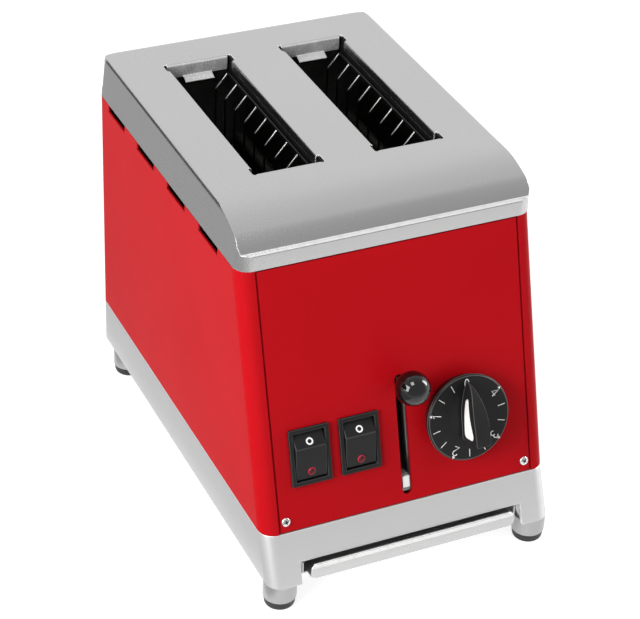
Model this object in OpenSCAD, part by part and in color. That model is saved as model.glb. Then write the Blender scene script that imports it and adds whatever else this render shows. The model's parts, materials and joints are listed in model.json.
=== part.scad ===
// Two-slice toaster with a slanted control panel, a timer dial, two rocker switches,
// a lever that lowers both bread racks and a crumb tray under the base.
// Millimetres, +Z up, the front panel faces -Y, the feet stand on z = 0.

/* [Body] */
// Outer width of the body
body_w = 180; // [170:1:200]
// Depth of the body along its lower edge
body_d = 265; // [255:1:290]
// Height of the painted body
body_h = 149; // [145:1:165]
// How far the top of the front panel lies behind its bottom
panel_setback = 44; // [40:1:48]
// Outer radius of the upright corners
corner_r = 9; // [7:0.5:12]
// Thickness of the painted sheet
sheet = 1.2; // [0.8:0.1:1.5]
// Width of the painted edge on each side of the front panel
panel_edge = 10.5; // [9:0.5:14]
// Width of the seam round the front panel
seam = 0.5; // [0.3:0.1:0.8]
// Width of the flange that carries each edge of the front panel
panel_flange = 8; // [6:0.5:10]

/* [Vents] */
// Number of vent notches on each side
vent_count = 4; // [2:1:5]
// Length of a vent notch
vent_l = 27; // [15:1:35]
// Height of a vent notch
vent_h = 4.6; // [2:0.1:6]
// Distance from one vent notch to the next
vent_pitch = 48.3; // [40:0.1:52]
// Centre of the row of vents, measured from the middle of the body
vent_shift = 26.5; // [15:0.5:30]

/* [Base] */
// Height of the base frame's underside above the table
foot_h = 17; // [14:0.5:24]
// Height of the base frame
base_h = 29; // [27:0.5:35]
// How far the lower front edge of the base stands ahead of its upper one
base_flare = 12.5; // [8:0.5:15]
// Wall of the base frame
base_wall = 2.5; // [2:0.1:3]
// Distance from the body's side to the notch for the crumb tray
notch_edge = 19.7; // [19.5:0.1:23]
// Height of the notch for the crumb tray
notch_h = 12; // [11.5:0.5:14]

/* [Feet] */
// Radius of a foot
foot_r = 9.75; // [8.5:0.25:11]
// Height of the rubber pad below its sleeve
pad_h = 4; // [3:0.5:6]
// Distance of the rear feet from the back of the body
foot_back = 23.5; // [20:0.5:30]
// Radius of the screw that holds a foot
foot_screw_r = 2; // [1.5:0.1:2.5]

/* [Lid] */
// Height of the lid above the painted body
lid_h = 26; // [24:0.5:30]
// Thickness of the lid
lid_sheet = 1.2; // [0.8:0.1:1.5]
// How far the lid's sides lean in over its height
lid_lean = 2; // [0:0.1:3]
// Radius of the lid's long upper edges
lid_edge_r = 3; // [2:0.5:6]
// Radius of the lid's rear upper edge
lid_back_r = 6; // [4:0.5:8]
// Height of the upright band at the lid's front
band_h = 10; // [8:0.5:11]
// Depth of the ledge on top of that band
band_ledge = 2.8; // [2:0.1:4]
// Radius of the band's upper edge
band_r = 1.2; // [0.6:0.1:2]
// Radius of the long part of the front curve
curve_r = 90; // [80:1:100]
// Angle of the long part of the front curve
curve_angle = 22; // [18:1:24]
// Angle of the front curve where it meets the ledge
curve_end = 75; // [70:1:82]

/* [Bread slots] */
// Width of a bread slot
slot_w = 39; // [36:0.5:41]
// Distance between the middles of the two slots
slot_pitch = 74.6; // [72:0.2:78]
// Distance from the body's lower front edge to the slots' front ends
bay_front = 98.5; // [95:0.5:104]
// Distance from the slots' rear ends to the back of the body
bay_back = 31.5; // [28:0.5:40]
// Outer bend radius of the slot's turned-down edges
hem_r = 1.6; // [1.5:0.1:2.5]
// Depth of the turned-down edges along a slot's sides
side_hem = 6; // [4:0.5:8]
// Depth of the turned-down edges at a slot's ends
end_hem = 9; // [6:0.5:9]
// Length of the relief cuts at a slot's corners
relief_l = 6.5; // [4:0.5:9]
// How far a relief cut reaches beside the slot
relief_w = 2.2; // [2:0.1:3]
// Corner radius of a relief cut
relief_r = 1.5; // [1:0.1:1.8]
// Thickness of the slot liner
liner_t = 0.8; // [0.6:0.1:1]
// Depth of the slot liner below the lid
liner_h = 14; // [8:0.5:16]
// Width of the bent tab at a slot's rear end
tab_w = 18.5; // [12:0.5:20]
// How far that tab reaches into the slot
tab_l = 4.5; // [2:0.5:6]
// How far that tab drops
tab_drop = 2; // [1:0.1:3]

/* [Bread chamber] */
// Clear distance between the two guards of a slot
guard_gap = 22; // [20:0.5:24]
// Radius of a guard wire
wire_r = 0.9; // [0.7:0.05:1.1]
// Distance between the upright wires
wire_pitch = 15; // [12:0.1:18]
// Distance of the last upright wire from the rear end of the slot
wire_back = 0.5; // [0.5:0.5:12]
// Height of the flared top of a guard wire
flare_h = 9.6; // [8:0.1:14]
// Depth of the guard's upper rail below the lid
flare_drop = 10; // [9:0.5:12]
// Thickness of the chassis plates
plate_t = 1.5; // [1.2:0.1:2]
// Distance from a slot's end to its chassis plate
chamber_gap = 10.5; // [10:0.5:12]
// Distance of the heat shields from the body's sides
shield_gap = 12; // [10:0.5:14]
// Thickness of the heat shields
shield_t = 0.8; // [0.6:0.1:1]
// Radius of a heating element's tube
tube_r = 3.2; // [2.5:0.1:3.5]
// Distance of the heating elements from the middle of their slot
element_gap = 28; // [26:0.5:29]
// Height of the lowest element run above the base
run_low = 24; // [20:0.5:28]
// Distance between the two lower and between the two upper element runs
run_step = 30; // [26:0.5:32]
// Distance between the two middle element runs
run_mid = 35; // [32:0.5:38]

/* [Carriage] */
// Radius of a carriage guide rod
rod_r = 3; // [2.5:0.1:3.5]
// Distance of the guide rods from the middle
rod_x = 24; // [23:0.5:27]
// Width of a rack bar
bar_w = 3; // [2:0.5:4]
// Height of a rack bar
bar_h = 8; // [6:0.5:9]
// Number of cross fingers on a rack
finger_count = 7; // [4:1:9]
// Free length of a return spring at rest
spring_l = 54; // [50:1:60]
// Coil radius of a return spring, to the middle of its wire
spring_r = 4; // [3:0.25:4.5]
// Radius of the spring wire
spring_wire_r = 0.6; // [0.4:0.05:0.7]
// Number of curls in a return spring
spring_curls = 12; // [6:1:16]

/* [Lever] */
// Width of the lever slot in the front panel
lever_slot_w = 5.4; // [4.2:0.1:6]
// Height of the lever on the front panel at rest, along the panel
lever_u = 75; // [73:0.5:80]
// Travel of the lever along the front panel
lever_travel = 57; // [45:0.5:57]
// Lower end of the lever slot, along the panel
lever_slot_low = 5.5; // [4:0.5:7]
// Radius of the ball
ball_r = 10; // [8:0.5:12]
// Distance of the ball's middle from the panel
ball_out = 17; // [15:0.5:22]
// Radius of a lever rod
lever_rod_r = 2.5; // [2:0.1:3]

/* [Dial] */
// Radius of the dial
dial_r = 26; // [22:0.5:27]
// Distance of the dial from the middle of the panel
dial_x = 37; // [37:0.5:42]
// Height of the dial's middle, along the panel
dial_u = 46.5; // [40:0.5:55]
// Distance of the dial's face from the panel
dial_face = 10; // [8:0.5:12]
// Height of the grip above the dial's face
grip_h = 17; // [14:0.5:20]
// Width of the grip
grip_w = 9.2; // [8:0.2:11]
// Reach of the grip's pointed end from the dial's middle
grip_tip = 22.4; // [18:0.2:24]
// Reach of the grip's square end from the dial's middle
grip_end = 12.5; // [10:0.5:15]
// Radius of the timer shaft
shaft_r = 3; // [2.5:0.1:3.5]

/* [Switches] */
// Width of a switch bezel
switch_w = 24.5; // [22:0.5:26]
// Height of a switch bezel
switch_h = 34; // [32:0.5:36]
// Distance of the first switch from the middle of the panel
switch_x = 58.1; // [57:0.1:60]
// Distance between the two switches
switch_pitch = 30.5; // [28:0.1:31]
// Height of the switches' middle, along the panel
switch_u = 43.7; // [38:0.1:50]
// How far a bezel stands out of the panel
bezel_t = 2; // [1.5:0.1:2.5]
// Radius of a red lens
lens_r = 2.3; // [1.8:0.1:2.8]
// Tilt of a rocker when it is switched over
rocker_tilt = 16; // [10:1:16]

/* [Crumb tray] */
// Gap between the crumb tray and each side of its notch
tray_play = 2; // [1.5:0.1:6]
// Distance from the tray's rear end to the back of the body
tray_gap = 15; // [13:0.5:50]
// Height of the tray's walls
tray_h = 8; // [6:0.5:8.5]
// Thickness of the tray's sheet
tray_t = 1; // [0.8:0.1:1.2]
// How far each end of the lip lies inside the tray's side
lip_edge = 3.3; // [2:0.1:10]
// Distance of the rolled edge's middle behind the base's lower front edge
lip_back = 1.3; // [0:0.1:3]
// Radius of the rolled edge on the lip
lip_roll_r = 1.7; // [1.2:0.1:2]

/* [Rear] */
// How far the cord gland stands out of the back
gland_reach = 15; // [10:0.5:18]
// Distance of the cord gland from the middle
gland_x = 55; // [45:1:60]
// Height of the cord gland above the base
gland_z = 26; // [20:1:40]
// Radius of the hole for the cord
gland_bore = 4; // [3:0.25:5]

/* [Hidden] */
$fn = 64;

// Clearances
seat = 0.2;
run = 0.05;
slide = 0.3;
past = 1;
far = 400;

// Heights
base_top = foot_h + base_h;
body_top = base_top + body_h;
lid_top = body_top + lid_h;
lid_under = lid_top - lid_sheet;

// The front panel and the base's front face
slant = atan2(panel_setback, body_h);
panel_l = norm([panel_setback, body_h]);
panel_w = body_w - 2 * panel_edge;
base_slant = atan2(base_flare, base_h);

// Depths: the whole toaster reaches as far forward as back from y = 0
lip_reach = base_flare - lip_back + lip_roll_r;
grip_reach = (dial_face + grip_h) * cos(slant) - (dial_u - grip_end) * sin(slant);
front_reach = body_d / 2 + max(lip_reach, grip_reach);
rear_reach = body_d / 2 + gland_reach;
body_y = (front_reach - rear_reach) / 2;
y_front = body_y - body_d / 2;
y_back = body_y + body_d / 2;
y_base = y_front - base_flare;
y_lid = y_front + panel_setback - seam;

// Bread slots and the chamber under them
slot_x = slot_pitch / 2;
slot_l = body_d - bay_front - bay_back;
slot_front = y_front + bay_front;
slot_back = y_back - bay_back;
slot_y = (slot_front + slot_back) / 2;
chamber_front = slot_front - chamber_gap;
chamber_back = slot_back + chamber_gap;
chamber_l = chamber_back - chamber_front;
liner_edge = lid_sheet + slide;
liner_top = lid_under - run;
wire_x = guard_gap / 2 + wire_r;
wire_count = floor((slot_l - wire_back - wire_r) / wire_pitch) + 1;
wire_bead = 0.06;
rail_r = wire_r + 0.1;
rail_x = slot_w / 2 + liner_edge - rail_r - seat;
rail_low = 16;
rail_step = 46;
rail_z = [for (i = [0 : 2]) base_top + rail_low + i * rail_step];
flare_top = lid_under - flare_drop;
flare_out = rail_x - wire_x;
bend_z = flare_top - flare_h;
flare_l = norm([flare_out, flare_h]);
flare_angle = atan2(flare_out, flare_h);

// Chassis plates
plate_half = body_w / 2 - sheet - 2.3;
plate_top = lid_under - run;
flange_l = chamber_gap - liner_edge - liner_t - seat;
stud_edge = 18;
stud_x = body_w / 2 - stud_edge;
stud_r = 2;
stud_l = 11;
shield_x = body_w / 2 - shield_gap;
shield_top = body_top + 8;
shield_fold = 6;
reflector_fold = 4;
nut_r = 3.6;
nut_h = 3;
stud_y = [chamber_front + flange_l / 2, chamber_back - flange_l / 2];

// Heating elements: heights of the four runs and places across
run_1 = base_top + run_low;
run_z = [run_1, run_1 + run_step, run_1 + run_step + run_mid, run_1 + 2 * run_step + run_mid];
elements = [for (s = [-1, 1], e = [-s, s]) s * slot_x + s * e * element_gap];
elbow_r = 12;
terminal_l = 14;
bush_r = tube_r + 1.8;
bush_flange = 2;

// Lever: places in the panel's own frame, across, up and out
lever_block = [26, 16, 14];
lever_block_low = lever_u - 2;
lever_block_in = 9;
lever_rod_x = 9;
lever_rod_in = 16;
arm = 3.6;
tongue_t = 3;
ear_x = tongue_t / 2 + 0.8;
ear_t = 2.5;
pin_u = lever_u + 7;
pin_in = 45;
pin_r = 1.5;
lug_t = 2;
lug_low = lever_slot_low + 1.5;
lug_high = lever_block_low + lever_block[1] + 2;
lug_in = 20;
lever_bracket_w = 27;
buffer_top = lever_u - lever_travel - arm / 2 - seat;

// Carriage: heights follow the lever's pin
pin_y = y_front + pin_u * sin(slant) + pin_in * cos(slant);
pin_z = base_top + pin_u * cos(slant) - pin_in * sin(slant);
lift = lever_travel * cos(slant);
pin_shift = lever_travel * sin(slant);
bracket_t = 2;
bracket_low = pin_z - 9;
bracket_high = pin_z + 16;
bracket_half = slot_x + bar_w / 2 + 8.2;
bracket_back = chamber_front - plate_t - 5;
bracket_front = bracket_back - bracket_t;
rod_y = bracket_front - 8.5;
bushing_r = rod_r + 2;
boss_r = bushing_r + 2.5;
bar_low = pin_z - 5;
bar_high = bar_low + bar_h;
finger_t = 2;
rack_end = 12;
spring_x = slot_x + 3.7;
spring_y = bracket_front - 6;
shelf_z = bracket_high + spring_l;
shelf_half = spring_x + 9;
shelf_front = rod_y - 8;

// Dial, grip and timer
grip_end_r = 1.5;
grip_bow_r = (grip_tip * grip_tip + grip_w * grip_w / 4) / grip_w;
inlay_proud = 0.1;
timer_w = 40;
timer_d = 28;
timer_bush_r = shaft_r + 2;
timer_nut_r = 8;
timer_nut_h = 2;
dial_low = timer_nut_h + 0.6;
dial_web = 4;
shaft_in = 12;

// Switches
switches = [-switch_x, -switch_x + switch_pitch];
rocker_w = 18.6;
rocker_half = 13.4;
switch_d = 26;
pivot_in = 2.5;
pivot_r = 1.2;
pivot_l = 1;
rocker_top = [rocker_half, -0.8];
rocker_ridge = [5.5, 3.8];
rocker_low = [-rocker_half, 1.2];
rocker_under = 5;
facet_tilt = atan2(rocker_ridge[1] - rocker_low[1], rocker_ridge[0] - rocker_low[0]);
lens_u = -9.5;
lens_out = rocker_low[1] + (lens_u - rocker_low[0]) * tan(facet_tilt);
lens_d = 2;
switch_body_w = switch_w - 2.5;
switch_body_h = switch_h - 2.6;
// The well leaves room for the rocker at its full tilt
well_play = 0.5;
well_w = rocker_w + 0.8;
well_half = rocker_half * cos(rocker_tilt) + (rocker_low[1] + pivot_in) * sin(rocker_tilt) + well_play;
well_d = pivot_in + rocker_half * sin(rocker_tilt) + (rocker_under - pivot_in) * cos(rocker_tilt) + well_play;

// Crumb tray and its runners
notch_w = body_w - 2 * notch_edge;
tray_w = notch_w - 2 * tray_play;
tray_l = body_d - tray_gap;
lip_w = tray_w - 2 * lip_edge;
tray_z = foot_h + 2.2;
runner_t = 1.5;
runner_x = notch_w / 2;
runner_ledge = tray_play + 4.3;
runner_flange = 10;
runner_front = y_front + 7;
runner_back = y_back - foot_back - 10;
lip_h = 10;
lip_r = 4;

// Feet
foot_x = body_w / 2 - foot_r;
foot_y = [y_base + foot_r, y_back - foot_back];
foot_boss_r = 8;
plug_r = foot_r - 3.5;
plug_h = 5;
foot_web = 5;
foot_head_r = 3.8;

// Screws of the front panel
panel_screw_x = panel_w / 2 - 3.8;
panel_screw_u = 7;
panel_screw_r = 1.5;

// Terminal block and cord gland
pole_count = 5;
pole_w = 10;
pole_wall = 1.5;
block_d = 16;
block_h = 14;
block_step = 4;
block_side = 20;
block_front = 38;
gland_neck_r = gland_bore + 3;
gland_neck_l = 7;
gland_flange_r = gland_neck_r + 3;
gland_flange_t = 3;
gland_nut_r = gland_neck_r + 3.5;
gland_nut_h = 5;

// Front ends of the vent notches
function vent_y(i) = body_y + vent_shift - vent_l / 2 + (i - (vent_count - 1) / 2) * vent_pitch;

// Frame on the front panel: x across, y up the panel, z out of it
module on_panel() {
    translate([0, y_front, base_top]) rotate([90 - slant, 0, 0]) children();
}

// Frame along a sloping front face: z up the face, y into the body
module along_front(angle) {
    translate([0, y_front, base_top]) rotate([-angle, 0, 0]) children();
}

// A flat outline in Y and Z, drawn out along X and centred
module across(w) {
    rotate([90, 0, 90]) translate([0, 0, -w / 2]) linear_extrude(w) children();
}

// Points of an arc
function arc(c, r, a0, a1, n = 12) = [
    for (i = [0 : n]) let (a = a0 + (a1 - a0) * i / n) [c[0] + r * cos(a), c[1] + r * sin(a)]
];

// Outline with two rounded corners on its lower edge
module round_front(w, d, r) {
    translate([-w / 2, r]) square([w, d - r]);
    translate([-w / 2 + r, 0]) square([w - 2 * r, d]);
    for (s = [-1, 1]) translate([s * (w / 2 - r), r]) circle(r);
}

// Rectangle with rounded corners, centred
module round_rect(w, d, r) {
    square([w - 2 * r, d], center = true);
    square([w, d - 2 * r], center = true);
    for (i = [-1, 1], j = [-1, 1]) translate([i * (w / 2 - r), j * (d / 2 - r)]) circle(r);
}

// Block with a sloping front and four rounded upright corners
module body_block(angle, inset, z0, z1) {
    w = body_w - 2 * inset;
    r = corner_r - inset;
    intersection() {
        along_front(angle) translate([0, inset, -far]) linear_extrude(2 * far) round_front(w, 2 * far, r);
        translate([0, y_back - inset, z0]) linear_extrude(z1 - z0) rotate(180) round_front(w, 2 * far, r);
    }
}

module base_block(inset, z0, z1) {
    body_block(base_slant, inset, z0, z1);
}

module base_frame() {
    color("silver") difference() {
        union() {
            difference() {
                base_block(0, foot_h, base_top);
                base_block(base_wall, foot_h - past, base_top - base_wall);
            }
            intersection() {
                base_block(0, foot_h, base_top);
                for (s = [-1, 1], y = foot_y)
                    translate([s * foot_x, y, foot_h]) cylinder(r = foot_boss_r, h = base_h);
            }
        }
        // opening that lets crumbs fall into the tray
        translate([-runner_x + past, chamber_front, base_top - base_wall - past])
            cube([2 * (runner_x - past), chamber_l, base_wall + 2 * past]);
        // notch for the tray
        translate([-notch_w / 2, y_base - past, foot_h - past])
            cube([notch_w, base_flare + past, notch_h + past]);
        for (s = [-1, 1], y = foot_y)
            translate([s * foot_x, y, foot_h - past]) cylinder(r = foot_screw_r + run, h = base_h / 2 + past);
    }
}

module body_wrap() {
    flange_in = panel_w / 2 - panel_flange;
    flange_w = panel_flange + seam + 2;
    color("firebrick") difference() {
        union() {
            difference() {
                body_block(slant, 0, base_top, body_top);
                body_block(slant, sheet, base_top - past, body_top + past);
                on_panel() translate([-panel_w / 2 - seam, -far / 2, -2 * sheet])
                    cube([panel_w + 2 * seam, far, 4 * sheet]);
            }
            intersection() {
                body_block(slant, 0, base_top, body_top);
                for (s = [-1, 1]) on_panel()
                    translate([s * (flange_in + flange_w / 2) - flange_w / 2, 0, -2 * sheet])
                        cube([flange_w, panel_l, sheet]);
            }
        }
        for (s = [-1, 1], i = [0 : vent_count - 1])
            translate([s * body_w / 2 - corner_r / 2, vent_y(i), body_top - vent_h])
                cube([corner_r, vent_l, vent_h + past]);
        for (s = [-1, 1]) on_panel() translate([s * panel_screw_x, panel_screw_u, -3 * sheet])
            cylinder(r = panel_screw_r + run, h = 3 * sheet);
        translate([gland_x, y_back + past, base_top + gland_z]) rotate([90, 0, 0])
            cylinder(r = gland_neck_r + run, h = sheet + 2 * past);
    }
}

module front_panel() {
    color("firebrick") on_panel() difference() {
        translate([-panel_w / 2, seam, -sheet]) cube([panel_w, panel_l - 2 * seam, sheet]);
        for (x = switches) translate([x, switch_u, -2 * sheet])
            linear_extrude(3 * sheet) square([switch_body_w + seat, switch_body_h + seat], center = true);
        translate([0, 0, -2 * sheet]) linear_extrude(3 * sheet) lever_slot();
        translate([dial_x, dial_u, -2 * sheet]) cylinder(r = timer_bush_r + run, h = 3 * sheet);
        for (s = [-1, 1]) translate([s * panel_screw_x, panel_screw_u, -2 * sheet])
            cylinder(r = panel_screw_r + seat, h = 3 * sheet);
    }
}

// Outline of the lever slot with round ends
module lever_slot() {
    r = lever_slot_w / 2;
    high = lever_u + arm / 2 + slide - sqrt(r * r - arm * arm / 4);
    for (u = [lever_slot_low + r, high]) translate([0, u]) circle(r);
    translate([-r, lever_slot_low + r]) square([2 * r, high - lever_slot_low - r]);
}

// Front curve of the lid: a long arc, then a short one down to the ledge
lid_drop = lid_h - band_h;
short_r = (lid_drop - curve_r * (1 - cos(curve_angle))) / (cos(curve_angle) - cos(curve_end));
curve_l = curve_r * sin(curve_angle) + short_r * (sin(curve_end) - sin(curve_angle));
long_c = [y_lid + band_ledge + curve_l, lid_top - curve_r];
short_c = long_c + (curve_r - short_r) * [-sin(curve_angle), cos(curve_angle)];

// Side outline of the lid, drawn in by an inset
function lid_side(t) = let (
    band = lid_top - lid_drop - t,
    edge_r = max(band_r - t, 0.01),
    ledge_y = short_c[0] - (short_r - t) * sin(curve_end),
    low = body_top - (t > 0 ? past : 0)
) concat(
    [[y_lid + t, low]],
    arc([y_lid + t + edge_r, band - edge_r], edge_r, 180, 90, 6),
    [[ledge_y, band]],
    arc(short_c, short_r - t, 90 + curve_end, 90 + curve_angle),
    arc(long_c, curve_r - t, 90 + curve_angle, 90),
    arc([y_back - lid_back_r, lid_top - lid_back_r], lid_back_r - t, 90, 0),
    [[y_back - t, low]]
);

// Front outline of the lid between its leaning sides, drawn in by an inset
lean = atan2(lid_lean, lid_h);
function lid_front(t) = let (
    r = lid_edge_r - t,
    bend_at = lid_top - lid_edge_r,
    mid_x = body_w / 2 - (bend_at - body_top) * tan(lean) - lid_edge_r / cos(lean),
    low_x = body_w / 2 + past * tan(lean) - t / cos(lean)
) concat(
    [[low_x, body_top - past]],
    arc([mid_x, bend_at], r, lean, 90),
    arc([-mid_x, bend_at], r, 90, 180 - lean),
    [[-low_x, body_top - past]]
);

module lid_block(t) {
    w = body_w - 2 * t;
    mid = (y_lid + y_back) / 2;
    intersection() {
        across(w) polygon(lid_side(t));
        translate([0, far, 0]) rotate([90, 0, 0]) linear_extrude(2 * far) polygon(lid_front(t));
        translate([0, mid, body_top - past]) linear_extrude(lid_h + 2 * past)
            round_rect(w, y_back - y_lid - 2 * t, corner_r - t);
    }
}

// Cut in the lid's sheet for a bread slot: the bent edges start at its sides, the relief cuts are its corners
module slot_cut() {
    patch_l = relief_l + hem_r;
    square([slot_w + 2 * hem_r, slot_l - 2 * relief_l + past], center = true);
    for (e = [-1, 1]) translate([0, e * (slot_l / 2 - relief_l + patch_l / 2)])
        round_rect(slot_w + 2 * relief_w, patch_l, relief_r);
}

// Turned-down edge of sheet along Y: a quarter bend and a flange that hangs below it
module hem(l, depth) {
    rotate([90, 0, 0]) translate([0, 0, -l / 2]) linear_extrude(l) {
        intersection() {
            translate([hem_r, -hem_r]) difference() {
                circle(hem_r);
                circle(hem_r - lid_sheet);
            }
            translate([0, -hem_r]) square(hem_r);
        }
        translate([0, -depth]) square([lid_sheet, depth - hem_r]);
        translate([hem_r, -lid_sheet]) square([past, lid_sheet]);
    }
}

// The four turned-down edges of a slot and the bent tab at its rear end
module slot_edges() {
    tab_turn = atan2(tab_drop, tab_l);
    for (s = [0, 180]) rotate(s) translate([slot_w / 2, 0, lid_top]) hem(slot_l - 2 * relief_l, side_hem);
    for (s = [90, 270]) rotate(s) translate([slot_l / 2, 0, lid_top]) hem(slot_w, end_hem);
    translate([-tab_w / 2, slot_l / 2 + lid_sheet, lid_top - end_hem]) rotate([tab_turn, 0, 0])
        translate([0, -norm([tab_l, tab_drop]) - lid_sheet, 0])
            cube([tab_w, norm([tab_l, tab_drop]) + lid_sheet, lid_sheet]);
}

module top_cover() {
    color("lightgray") {
        difference() {
            lid_block(0);
            lid_block(lid_sheet);
            for (s = [-1, 1]) translate([s * slot_x, slot_y, lid_under - past])
                linear_extrude(lid_sheet + 2 * past) slot_cut();
        }
        for (s = [-1, 1]) translate([s * slot_x, slot_y, 0]) slot_edges();
        for (s = [-1, 1], y = stud_y)
            translate([s * stud_x, y, lid_under - stud_l]) cylinder(r = stud_r, h = stud_l + lid_sheet / 2);
    }
}

module foot_sleeves() {
    color("gainsboro") for (s = [-1, 1], y = foot_y) translate([s * foot_x, y, 0]) difference() {
        translate([0, 0, pad_h]) cylinder(r = foot_r, h = foot_h - pad_h);
        translate([0, 0, pad_h - past]) cylinder(r = plug_r + run, h = foot_h - foot_web - pad_h + past);
        cylinder(r = foot_screw_r + run, h = foot_h + past);
    }
}

module foot_pads() {
    crown = 1.6;
    plug_top = pad_h + plug_h - 1;
    profile = concat(
        [[0, 0], [foot_r - 2 * crown, 0]],
        arc([foot_r - 2 * crown, 1.5 * crown], 1.5 * crown, -60, 0, 6),
        [[foot_r - slide, pad_h], [plug_r, pad_h], [plug_r, plug_top], [0, plug_top]]
    );
    color("black") for (s = [-1, 1], y = foot_y) translate([s * foot_x, y, 0])
        rotate_extrude() polygon(profile);
}

module foot_screws() {
    head_h = 2;
    head_z = foot_h - foot_web - head_h;
    color("darkgray") for (s = [-1, 1], y = foot_y) translate([s * foot_x, y, head_z]) {
        cylinder(r = foot_head_r, h = head_h);
        cylinder(r = foot_screw_r, h = head_h + foot_web + base_h / 2 - past);
    }
}

module panel_screws() {
    head_h = 1.1;
    dome_r = 3;
    dome_low = dome_r - head_h;
    color("whitesmoke") for (s = [-1, 1]) on_panel() translate([s * panel_screw_x, panel_screw_u, 0])
        difference() {
            union() {
                translate([0, 0, -3 * sheet]) cylinder(r = panel_screw_r, h = 3 * sheet + head_h / 2);
                rotate_extrude()
                    polygon(concat([[0, 0]], arc([0, -dome_low], dome_r, asin(dome_low / dome_r), 90, 8)));
            }
            for (a = [0, 90]) rotate(a) translate([-1.5, -0.3, 0.3]) cube([3, 0.6, head_h]);
        }
}

module lid_nuts() {
    low = plate_top - plate_t - nut_h;
    color("darkgray") for (s = [-1, 1], y = stud_y) translate([s * stud_x, y, low]) difference() {
        cylinder(r = nut_r, h = nut_h, $fn = 6);
        translate([0, 0, -past]) cylinder(r = stud_r + run, h = nut_h + 2 * past);
    }
}

// Upright chassis plate with a flange that carries the lid
module chassis_plate(back) {
    face = back ? chamber_back : chamber_front - plate_t;
    flange_y = back ? chamber_back - flange_l : chamber_front - plate_t;
    difference() {
        union() {
            translate([-plate_half, face, base_top]) cube([2 * plate_half, plate_t, plate_top - base_top]);
            translate([-plate_half, flange_y, plate_top - plate_t])
                cube([2 * plate_half, flange_l + plate_t, plate_t]);
            children();
        }
        // upper corners stay clear of the lid's rounded edges
        for (s = [-1, 1]) translate([s * (plate_half + lid_edge_r), face, lid_under])
            cube([4 * lid_edge_r, far, 2 * lid_edge_r], center = true);
        for (s = [-1, 1], y = stud_y) translate([s * stud_x, y, lid_under - 2 * plate_t])
            cylinder(r = stud_r + seat, h = 3 * plate_t);
        // upright slots for the rack bars
        for (s = [-1, 1]) translate([s * slot_x - bar_w / 2 - slide, face - past, bar_low - lift - past])
            cube([bar_w + 2 * slide, plate_t + 2 * past, bar_h + lift + 2 * past]);
    }
}

module chassis_front() {
    color("slategray") difference() {
        chassis_plate(false) translate([-shelf_half, shelf_front, shelf_z])
            cube([2 * shelf_half, chamber_front - shelf_front, plate_t]);
        for (s = [-1, 1]) translate([s * rod_x, rod_y, shelf_z - past])
            cylinder(r = rod_r + run, h = plate_t + 2 * past);
        for (x = elements, z = [run_z[2], run_z[3]])
            translate([x, chamber_front + past, z]) rotate([90, 0, 0])
                cylinder(r = bush_r + run, h = plate_t + 2 * past);
    }
}

module chassis_rear() {
    color("slategray") chassis_plate(true);
}

// Folded reflector sheet between the chassis plates
module shield(s) {
    high = shield_top - base_top;
    color("gray") translate([s * shield_x, chamber_front, base_top]) {
        translate([-shield_t / 2, 0, 0]) cube([shield_t, chamber_l, high]);
        for (z = [0, high - shield_t])
            translate([s > 0 ? -shield_t / 2 : shield_t / 2 - shield_fold, 0, z])
                cube([shield_fold, chamber_l, shield_t]);
    }
}

module shield_left() { shield(-1); }
module shield_right() { shield(1); }

module center_reflector() {
    fold = reflector_fold;
    color("gray") translate([0, chamber_front, base_top + base_wall]) {
        translate([-shield_t / 2, 0, 0]) cube([shield_t, chamber_l, body_h]);
        translate([-fold, 0, body_h - shield_t]) cube([2 * fold, chamber_l, shield_t]);
    }
}

// Sheet frame under a bread slot, just outside the lid's turned-down edges
module slot_liner(s) {
    w = slot_w + 2 * liner_edge;
    l = slot_l + 2 * liner_edge;
    color("dimgray") translate([s * slot_x, slot_y, liner_top - liner_h])
        linear_extrude(liner_h) difference() {
            square([w + 2 * liner_t, l + 2 * liner_t], center = true);
            square([w, l], center = true);
        }
}

module slot_liner_left() { slot_liner(-1); }
module slot_liner_right() { slot_liner(1); }

// Bread guard: upright wires with flared tops on rails that end at the chassis plates
module guard_wires() {
    wire_low = base_top + 8;
    for (i = [0 : wire_count - 1]) translate([wire_x, slot_back - wire_back - i * wire_pitch, 0]) {
        translate([0, 0, wire_low]) rotate(90) cylinder(r = wire_r, h = bend_z - wire_low);
        translate([0, 0, bend_z]) rotate(90) sphere(wire_r + wire_bead);
        translate([0, 0, bend_z]) rotate([0, flare_angle, 0]) rotate(90) cylinder(r = wire_r, h = flare_l);
    }
    for (z = rail_z) translate([wire_x + wire_r, chamber_front, z]) rotate([-90, 0, 0])
        cylinder(r = rail_r, h = chamber_l);
    translate([rail_x, slot_front, flare_top]) rotate([-90, 0, 0]) cylinder(r = rail_r, h = slot_l);
}

module guard(slot, side) {
    color("silver") translate([slot * slot_x, 0, 0]) {
        if (side > 0) guard_wires();
        if (side < 0) mirror([1, 0, 0]) guard_wires();
    }
}

module guard_1() { guard(-1, -1); }
module guard_2() { guard(-1, 1); }
module guard_3() { guard(1, -1); }
module guard_4() { guard(1, 1); }

// Straight run of tube along Y
module tube_run(y0, y1, z) {
    translate([0, y0, z]) rotate([-90, 0, 0]) cylinder(r = tube_r, h = y1 - y0);
}

// Quarter or half bend of tube in the Y and Z plane
module tube_bend(y, z, r, start, sweep) {
    translate([0, y, z]) rotate([90, 0, 90]) rotate(start)
        rotate_extrude(angle = sweep) translate([r, 0]) circle(tube_r);
}

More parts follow.
